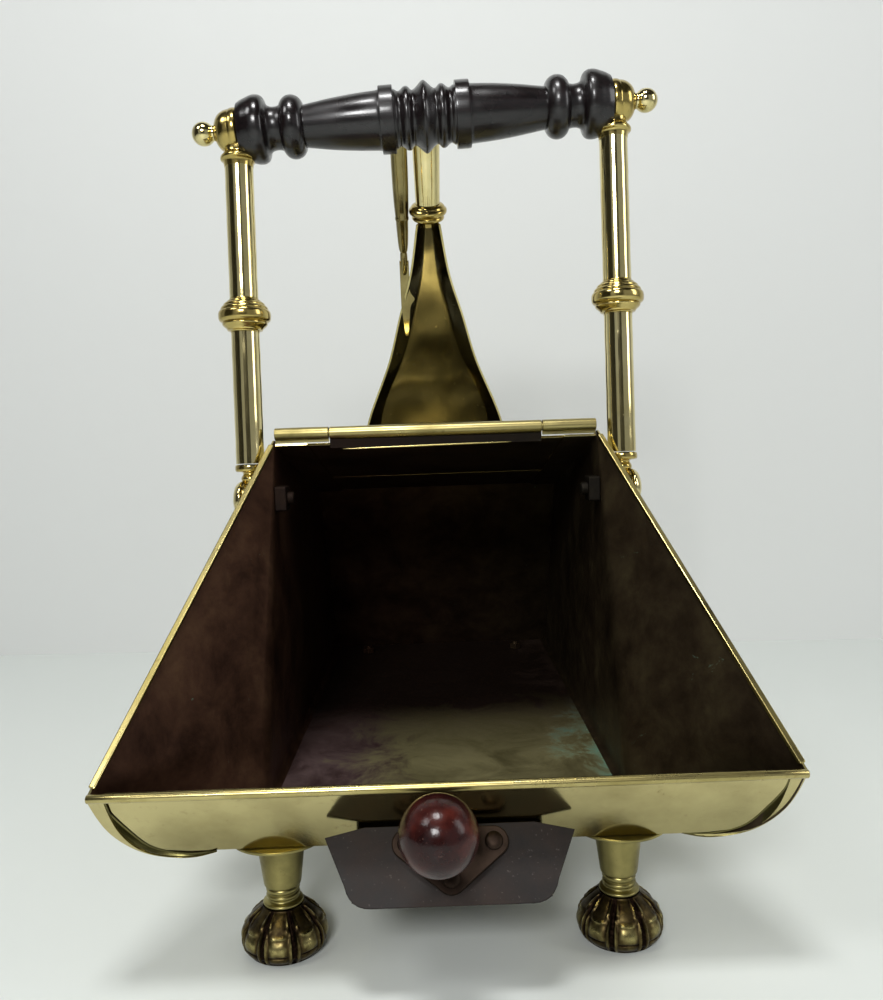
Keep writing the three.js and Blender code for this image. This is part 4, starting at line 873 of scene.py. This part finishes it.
FINIAL_RADIUS, FINIAL_OUT = 7.1, 20.8
finial_ball = [(FINIAL_RADIUS * math.sin(a), FINIAL_OUT - FINIAL_RADIUS * math.cos(a))
               for a in (math.radians(40 + 140 * i / 14) for i in range(14))]
finial_profile = [(0, 14.2, 1), (4.6, 14.2, 1), *finial_ball,
                  (0, FINIAL_OUT + FINIAL_RADIUS, 1)]
for side, sign in SIDES:
    end = GRIP @ moved(sign * POST_X, 0, 0) @ ALONG_X
    turned(f"elbow_cap_{side}", mirrored(elbow_dome, sign), end,
           [knop_brass], "bail", [f"bail_elbow_{side}"], 56)
    turned(f"finial_{side}", mirrored(finial_profile, sign), end,
           [post_brass], "bail", [f"bail_finial_{side}"], 40, 1)

# ---------------------------------------------------------------- dust tray
# A japanned steel tray that slides under the floor. Its sloping front plate has a
# folded rim, and carries a bronze bracket with three rivets.


def japan_finish():
    """Black-brown stoved varnish on steel: glossy, scuffed, with grey specks of 1 mm and
    brown where it has worn thin."""
    material, tree, shader = new_finish("japanned_steel")
    place = node(tree, "TexCoord").outputs["Object"]
    cloud = node(tree, "TexNoise", {"Vector": place, "Scale": 45, "Detail": 7, "Roughness": 0.65})
    tone = node(tree, "ValToRGB", {"Fac": cloud.outputs["Fac"]},
                [(0.32, "#15110F"), (0.7, "#2E241F")])
    speck = node(tree, "TexNoise", {"Vector": place, "Scale": 700, "Detail": 2})
    specks = node(tree, "MapRange", {
        "Value": speck.outputs["Fac"], "From Min": 0.68, "From Max": 0.74, "To Max": 0.25})
    colour = node(tree, "Mix", {
        0: specks.outputs["Result"], 6: tone.outputs["Color"], 7: linear("#7A716B")},
        data_type="RGBA")
    rough = node(tree, "MapRange", {
        **SPREAD, "Value": cloud.outputs["Fac"], "To Min": 0.5, "To Max": 0.68})
    bump = node(tree, "Bump", {
        "Height": cloud.outputs["Fac"], "Distance": 0.0012, "Strength": 0.35})
    dress(tree, shader, colour.outputs[2], rough.outputs["Result"], bump)
    shader["IOR"].default_value = 1.3
    shader["Coat Weight"].default_value = 0.03
    shader["Coat Roughness"].default_value = 0.3
    return material


japan = japan_finish()
bronze = brass("dark_bronze", "#29201B", "#40342C", 0.45, "#1C1512", 0.8)
eased("tray_pan", japan, 0.3, 2)
for side in ("left", "right"):
    eased(f"tray_runner_{side}", hinge_brass, 0.3, 2)

PLATE_TILT = 39
PLATE_UP = 18
plate_y = 18 - PLATE_UP * math.sin(math.radians(PLATE_TILT))
plate_z = 75.8 - PLATE_UP * math.cos(math.radians(PLATE_TILT))
PLATE = at(0, plate_y, plate_z) @ rotated(90 - PLATE_TILT, "X")
BRACKET = PLATE @ moved(0, 2.6, 0)


def plate_piece():
    """The front plate: its outline, a raised rim and a thickness."""
    corner = 10
    low = -PLATE_UP
    right = [(40.5, PLATE_UP), (59.5, PLATE_UP - 4.2)]
    ends = [Vector((49.6, low + corner)), Vector((47, low)), Vector((47 - corner, low))]
    for i in range(7):
        t = i / 6
        right.append(tuple(ends[0] * (1 - t) ** 2 + ends[1] * 2 * t * (1 - t) + ends[2] * t * t))
    outline = right + [(-x, y) for x, y in reversed(right)]
    mesh = bmesh.new()
    corners = [mesh.verts.new((x * MM, y * MM, SHEET)) for x, y in reversed(outline)]
    face = mesh.faces.new(corners)
    face.normal_update()
    if face.normal.z < 0:
        face.normal_flip()
    bmesh.ops.inset_region(mesh, faces=[face], thickness=1.7 * MM, depth=0)
    bmesh.ops.inset_region(mesh, faces=[face], thickness=0.5 * MM, depth=-0.5 * MM)
    rim = [e for e in mesh.edges if e.is_boundary]
    low_edge = bmesh.ops.extrude_edge_only(mesh, edges=rim)["geom"]
    lowered = [v for v in low_edge if isinstance(v, bmesh.types.BMVert)]
    bmesh.ops.translate(mesh, verts=lowered, vec=(0, 0, -SHEET))
    bmesh.ops.contextual_create(mesh, geom=[e for e in mesh.edges if e.is_boundary])
    bmesh.ops.recalc_face_normals(mesh, faces=mesh.faces)
    bmesh.ops.transform(mesh, matrix=PLATE, verts=mesh.verts)
    piece = finished("tray_plate", mesh, [japan], "dust_tray",
                     ["tray_front_plate"])
    ease_edges(piece, 0.3, 35)


plate_piece()


RIVETS = ((-20.5, 6.5), (0, -9.5), (20.5, 6.5))


def bracket_piece():
    """A three-cornered bronze plate, rounded round each rivet."""
    mesh = bmesh.new()
    for x, y in RIVETS:
        for z in (1.8, 4.2):
            lobe = bmesh.ops.create_circle(mesh, segments=28, radius=7 * MM)["verts"]
            bmesh.ops.translate(mesh, verts=lobe, vec=(x * MM, y * MM, z * MM))
    bmesh.ops.convex_hull(mesh, input=mesh.verts[:])
    spare = [edge for edge in mesh.edges if not edge.link_faces]
    bmesh.ops.delete(mesh, geom=spare, context="EDGES")
    spare = [vert for vert in mesh.verts if not vert.link_faces]
    bmesh.ops.delete(mesh, geom=spare, context="VERTS")
    bmesh.ops.dissolve_limit(mesh, angle_limit=math.radians(1), verts=mesh.verts, edges=mesh.edges)
    bmesh.ops.recalc_face_normals(mesh, faces=mesh.faces)
    bmesh.ops.transform(mesh, matrix=BRACKET, verts=mesh.verts)
    piece = finished("bracket", mesh, [bronze], "dust_tray", ["knob_bracket"])
    ease_edges(piece, 0.5, 50)


bracket_piece()
rivet_profile = [
    (0, 3.7, 1), (4.4, 3.7, 1), (4.4, 4.4), (4, 5.4), (2.6, 6.2), (1, 6.4), (0, 6.4, 1)]
for i, (x, y) in enumerate(RIVETS):
    turned(f"bracket_rivet_{i + 1}", rivet_profile, BRACKET @ moved(x, y, 0),
           [bronze], "dust_tray", (), 32)

# ---------------------------------------------------------------- ball knob
# A turned ball of red-brown wood on a short bronze stem. Its varnish is worn, and its pale specks
# are partly wear and partly a painted speckled sheen.


def varnish_finish():
    """Old red-brown varnish on wood: dark clouds 12 mm across, pale specks under 1 mm that are
    partly wear and partly a painted speckled sheen, and a gloss broken by them."""
    material, tree, shader = new_finish("worn_varnished_wood")
    place = node(tree, "TexCoord").outputs["Object"]
    cloud = node(tree, "TexNoise", {"Vector": place, "Scale": 70, "Detail": 6, "Roughness": 0.6})
    tone = node(tree, "ValToRGB", {"Fac": cloud.outputs["Fac"]},
                [(0.3, "#180B0B"), (0.72, "#4A1C15"), (0.5, "#2C100E")])
    speck = node(tree, "TexNoise", {"Vector": place, "Scale": 900, "Detail": 3})
    specks = node(tree, "MapRange", {
        "Value": speck.outputs["Fac"], "From Min": 0.66, "From Max": 0.74, "To Max": 0.2})
    # The pale specks are partly worn varnish and partly painted sheen.
    colour = node(tree, "Mix", {
        0: specks.outputs["Result"], 6: tone.outputs["Color"], 7: linear("#8A6558")},
        data_type="RGBA")
    rough = node(tree, "MapRange", {
        **SPREAD, "Value": cloud.outputs["Fac"], "To Min": 0.14, "To Max": 0.24})
    bump = node(tree, "Bump", {
        "Height": speck.outputs["Fac"], "Distance": 0.0002, "Strength": 0.35})
    dress(tree, shader, colour.outputs[2], rough.outputs["Result"], bump)
    shader["IOR"].default_value = 1.36
    return material


KNOB = BRACKET @ moved(-5, 0, 0)
BALL_RADIUS, BALL_OUT = 17.55, 42.5
ball = [(BALL_RADIUS * math.sin(a), BALL_OUT - BALL_RADIUS * math.cos(a))
        for a in (math.radians(24 + 156 * i / 24) for i in range(24))]
turned("knob_ball", [(0, ball[0][1] + 0.3, 1), (5.6, ball[0][1], 1), *ball,
                     (0, BALL_OUT + BALL_RADIUS, 1)], KNOB,
       [varnish_finish()], "dust_tray", ["ball_knob"], 72, 1)
stem_profile = [
    (0, 4, 1), (9.4, 4, 1), (9.4, 4.6), (8, 6.2), (7.4, 6.8), (6.2, 9.6), (4.6, 13), (4.4, 16),
    (4.6, 20), (8.2, 21.4), (8.6, 22.4), (8.4, 23.6), (6, 24.4), (4.4, 26, 1), (0, 26, 1)]
turned("knob_shank", stem_profile, KNOB, [bronze], "dust_tray", ["knob_stem"], 40)

# ---------------------------------------------------------------- shovel
# A brass shovel that stands in a pocket on the back with its hollow side to the
# scuttle. The blade is one sheet with its two sides folded up, bright but streaky.

BACK_ANGLE = math.atan2((BACK_FOOT_Y - BACK_Y), (BACK_Z - FLOOR_Z))
SHOVEL = (Matrix.Translation((0, BACK_Y + LIP_Y, BACK_Z))
          @ Matrix.Rotation(BACK_ANGLE, 4, "X"))
blade_brass = brass("streaked_blade_brass", "#4A4636", "#867F66", 0.13, "#2E2518", 0.65, 0.006)
hook_brass = brass("tarnished_hook_brass", "#5C4F2E", "#93875A", 0.13, "#2A1E10", 0.7, 0.004)
eased("shovel_shoe", sheet_brass, 0.5)

BLADE_LENGTH, BLADE_TIP, BLADE_HALF, BLADE_DEPTH = 261.7, -42, 64, 22
blade_stations = [
    (0, 1, 0.77), (0.17, 0.97, 0.76), (0.385, 0.86, 0.68), (0.6, 0.53, 0.34),
    (0.74, 0.375, 0.2), (0.86, 0.23, 0.09), (1, 0.14, 0.04)]


def along_blade(share, column):
    """A half width between the stations, on a smooth curve through them."""
    places = [s[0] for s in blade_stations]
    values = [s[column] for s in blade_stations]
    i = min(max(sum(p <= share for p in places) - 1, 0), len(places) - 2)

    def slope(k):
        a, b = max(k - 1, 0), min(k + 1, len(places) - 1)
        return (values[b] - values[a]) / (places[b] - places[a])
    span = places[i + 1] - places[i]
    t = (share - places[i]) / span
    return ((2 * t ** 3 - 3 * t ** 2 + 1) * values[i] + (t ** 3 - 2 * t ** 2 + t) * span * slope(i)
            + (3 * t ** 2 - 2 * t ** 3) * values[i + 1] + (t ** 3 - t ** 2) * span * slope(i + 1))


WALL_CELLS, PANEL_CELLS = 8, 16
blade_columns = 2 * WALL_CELLS + PANEL_CELLS


def blade_place(u, v):
    edge = along_blade(v, 1) * BLADE_HALF
    crease = along_blade(v, 2) * BLADE_HALF
    t = min(max((v - 0.3) / 0.7, 0), 1)
    rise = t * t * (3 - 2 * t)
    near, far = 1 + rise * 4, 1 + BLADE_DEPTH - rise * 2.5
    column = round(u * blade_columns)
    side = -1 if column <= blade_columns / 2 else 1
    from_edge = column if side < 0 else blade_columns - column
    if from_edge <= WALL_CELLS:
        t = from_edge / WALL_CELLS
        x, y = edge + (crease - edge) * t, near + (far - near) * t
    else:
        x, y = crease * (1 - (from_edge - WALL_CELLS) / (PANEL_CELLS / 2)), far
    z = BLADE_TIP + v * BLADE_LENGTH
    return SHOVEL @ Vector((-side * x * MM, y * MM, z * MM))


sheet("blade", blade_columns, 60, blade_place, [sheet_brass, blade_brass], "shovel",
      ["shovel_blade"], swell=0.7)

SHAFT = SHOVEL @ moved(0, 13, 0)
shovel_ring = [
    (0, 216, 1), (4.6, 216, 1), (4.6, 220, 1), (9.6, 220.1, 1), (11.2, 221), (11.7, 222.6),
    (10.6, 224, 1), (12.6, 224.8), (13.6, 226.4), (13.5, 228.4), (12, 229.6, 1), (11.6, 230.8),
    (9.6, 232, 1), (0, 232, 1)]
turned("shovel_ring", shovel_ring, SHAFT, [knop_brass], "shovel",
       ["shovel_collar"], 56)
shaft_profile = [
    (0, 232.3, 1), (8.6, 232.3, 1), (8.9, 244), (9.4, 270), (10, 294.3, 1), (10.5, 294.9),
    (10.5, 296.7), (8.5, 298.7), (5, 300.7), (0, 301.2, 1)]
turned("shovel_tube", shaft_profile, SHAFT, [post_brass], "shovel",
       ["shovel_handle"], 56)

# ---------------------------------------------------------------- hanging hook
# A cast brass hook clasped round the shovel's tube: a thick rounded bar that narrows to
# a ferrule, and below it a thin flat tail with a side tab, bent in towards the back.

HOOK_X, HOOK_Y = -18.6, 10
TAIL_TOP, TAIL_LENGTH, TAIL_HALF = 192, 54, 3.4
HOOK = SHOVEL @ moved(HOOK_X, HOOK_Y, 0)
hook_profile = [
    (0, 182, 1), (2.3, 182, 1), (2.7, 184), (2.7, 197), (2.3, 198.5, 1), (3, 199.5), (3.8, 206),
    (4.5, 221.5, 1), (4.9, 222.2), (4.9, 223.8), (4.6, 224.6, 1), (5.2, 232), (5.8, 252),
    (5.8, 286), (5.2, 291.5), (3.4, 294.2, 1), (0, 294.2, 1)]
turned("hook_bar", hook_profile, HOOK, [hook_brass], "shovel",
       ["shovel_hook"], 40)
clasp_profile = [(0, 274.3, 1), (12.4, 274.3, 1), (13, 275), (13, 285.6), (12.4, 286.3, 1),
                 (0, 286.3, 1)]
turned("hook_clasp", clasp_profile, SHAFT, [hook_brass], "shovel", (), 48)


def tail_place(u, v):
    right = TAIL_HALF + 3.4 * bell(v, 0.5, 0.06)
    taper = 0.35 + 0.65 * min(1, v / 0.4)
    x = HOOK_X + (-TAIL_HALF + (TAIL_HALF + right) * u) * taper
    bend = v * v * (3 - 2 * v)
    return SHOVEL @ Vector((x * MM, (-1.4 + (HOOK_Y + 0.2) * bend) * MM,
                            (TAIL_TOP - TAIL_LENGTH * (1 - v)) * MM))


sheet("hook_tail", 6, 54, tail_place, [hook_brass], "shovel",
      thick=2.2 * MM, swell=0.2)

# ---------------------------------------------------------------- table, wall and light
# A pale table against a pale wall, under soft lights from above, in front and both
# sides. Dark planes that the camera doesn't see stand for the room the brass mirrors.


def stage_plane(name, size, place, colour, rough, seen=True):
    """A flat surface of the studio. One that isn't seen is there for the brass to mirror."""
    mesh = bmesh.new()
    bmesh.ops.create_grid(mesh, x_segments=1, y_segments=1, size=0.5)
    bmesh.ops.scale(mesh, verts=mesh.verts, vec=(*size, 1))
    bmesh.ops.transform(mesh, matrix=place, verts=mesh.verts)
    data = bpy.data.meshes.new(name)
    mesh.to_mesh(data)
    mesh.free()
    material, tree, shader = new_finish(name + "_paint")
    shader["Base Color"].default_value = linear(colour)
    shader["Roughness"].default_value = rough
    data.materials.append(material)
    piece = bpy.data.objects.new(name, data)
    bpy.context.scene.collection.objects.link(piece)
    piece.visible_camera = seen
    return tree


UPRIGHT = rotated(90, "X")
SIDEWAYS = rotated(90, "Z") @ UPRIGHT
WALL_Y = 0.49
stage_plane("table", (6, 6), Matrix.Translation((0, WALL_Y - 1, 0)), "#D8DDD9", 0.45)
wall_tree = stage_plane(
    "wall", (6, 4), Matrix.Translation((0, WALL_Y, 1.9))
    @ rotated(-3.8, "Z") @ UPRIGHT, "#D4D6D4", 0.7)
stage_plane("dark_room", (1.6, 2.2), Matrix.Translation((0, -2.6, 1.2)) @ UPRIGHT,
            "#5A5750", 0.9, False)
stage_plane("dark_side", (2.4, 2), Matrix.Translation((-2.2, -1.4, 1)) @ SIDEWAYS,
            "#45423A", 0.9, False)
stage_plane("ceiling", (5, 3.4), Matrix.Translation((0, -1.1, 2.3)), "#4A463F", 0.9, False)

# The wall is clear from behind, so that the back of the scuttle can be looked at.
front_only = node(wall_tree, "MixShader", {
    0: node(wall_tree, "NewGeometry").outputs["Backfacing"],
    1: wall_tree.nodes["Principled BSDF"].outputs["BSDF"],
    2: node(wall_tree, "BsdfTransparent").outputs["BSDF"]})
wall_tree.links.new(front_only.outputs["Shader"],
                    wall_tree.nodes["Material Output"].inputs["Surface"])


def lamp(name, place, target, size, power, colour="#FFFFFF"):
    data = bpy.data.lights.new(name, "AREA")
    data.shape = "RECTANGLE"
    data.size, data.size_y = size
    data.energy = power
    data.color = linear(colour)[:3]
    piece = bpy.data.objects.new(name, data)
    piece.location = place
    aim = Vector(target) - Vector(place)
    piece.rotation_euler = aim.to_track_quat("-Z", "Y").to_euler()
    bpy.context.scene.collection.objects.link(piece)


lamp("ceiling_light", (-0.1, -0.6, 1.7), (0, 0, 0.1), (0.4, 0.25), 13)
lamp("front_light", (-0.25, -1.5, 0.95), (0, 0, 0.12), (0.4, 0.3), 14)
lamp("window_light", (-1.1, -0.9, 1.7), (0, 0, 0.1), (0.5, 0.5), 8)
lamp("side_light", (1.6, -0.6, 0.9), (0, 0, 0.2), (0.5, 1.0), 6)

LIT_BY, SEEN_AS = 0.42, 0.85        # strength of the world as a light, and as a backdrop
world = bpy.data.worlds.new("studio")
bpy.context.scene.world = world
world.use_nodes = True
background = world.node_tree.nodes["Background"].inputs
background["Color"].default_value = linear("#DADDDF")
strength = node(world.node_tree, "MapRange", {
    "Value": node(world.node_tree, "LightPath").outputs["Is Camera Ray"],
    "To Min": LIT_BY, "To Max": SEEN_AS})
world.node_tree.links.new(strength.outputs["Result"], background["Strength"])

# ---------------------------------------------------------------- camera
# The photograph's view: level with the hinge, close to the mouth, tilted down a little
# and rolled by two degrees.

SENSOR, FRAME_HEIGHT, FOCAL = 36, 1000, 880      # mm, and pixels of the photograph
PAN, TILT, LEAN = -0.413, -4.003, 1.891          # degrees
CAMERA_PLACE = (-1.656 * MM, -390.97 * MM + LIP_Y, 260.2 * MM)

camera = bpy.data.cameras.new("camera")
camera.sensor_width = SENSOR
camera.lens = SENSOR * FOCAL / FRAME_HEIGHT
camera.clip_start = 0.01
viewer = bpy.data.objects.new("camera", camera)
bpy.context.scene.collection.objects.link(viewer)
facing = rotated(PAN, "Z") @ rotated(TILT, "X") @ rotated(LEAN, "Y")
viewer.matrix_world = Matrix.Translation(CAMERA_PLACE) @ facing @ UPRIGHT
bpy.context.scene.camera = viewer
bpy.context.scene.view_settings.view_transform = "Standard"
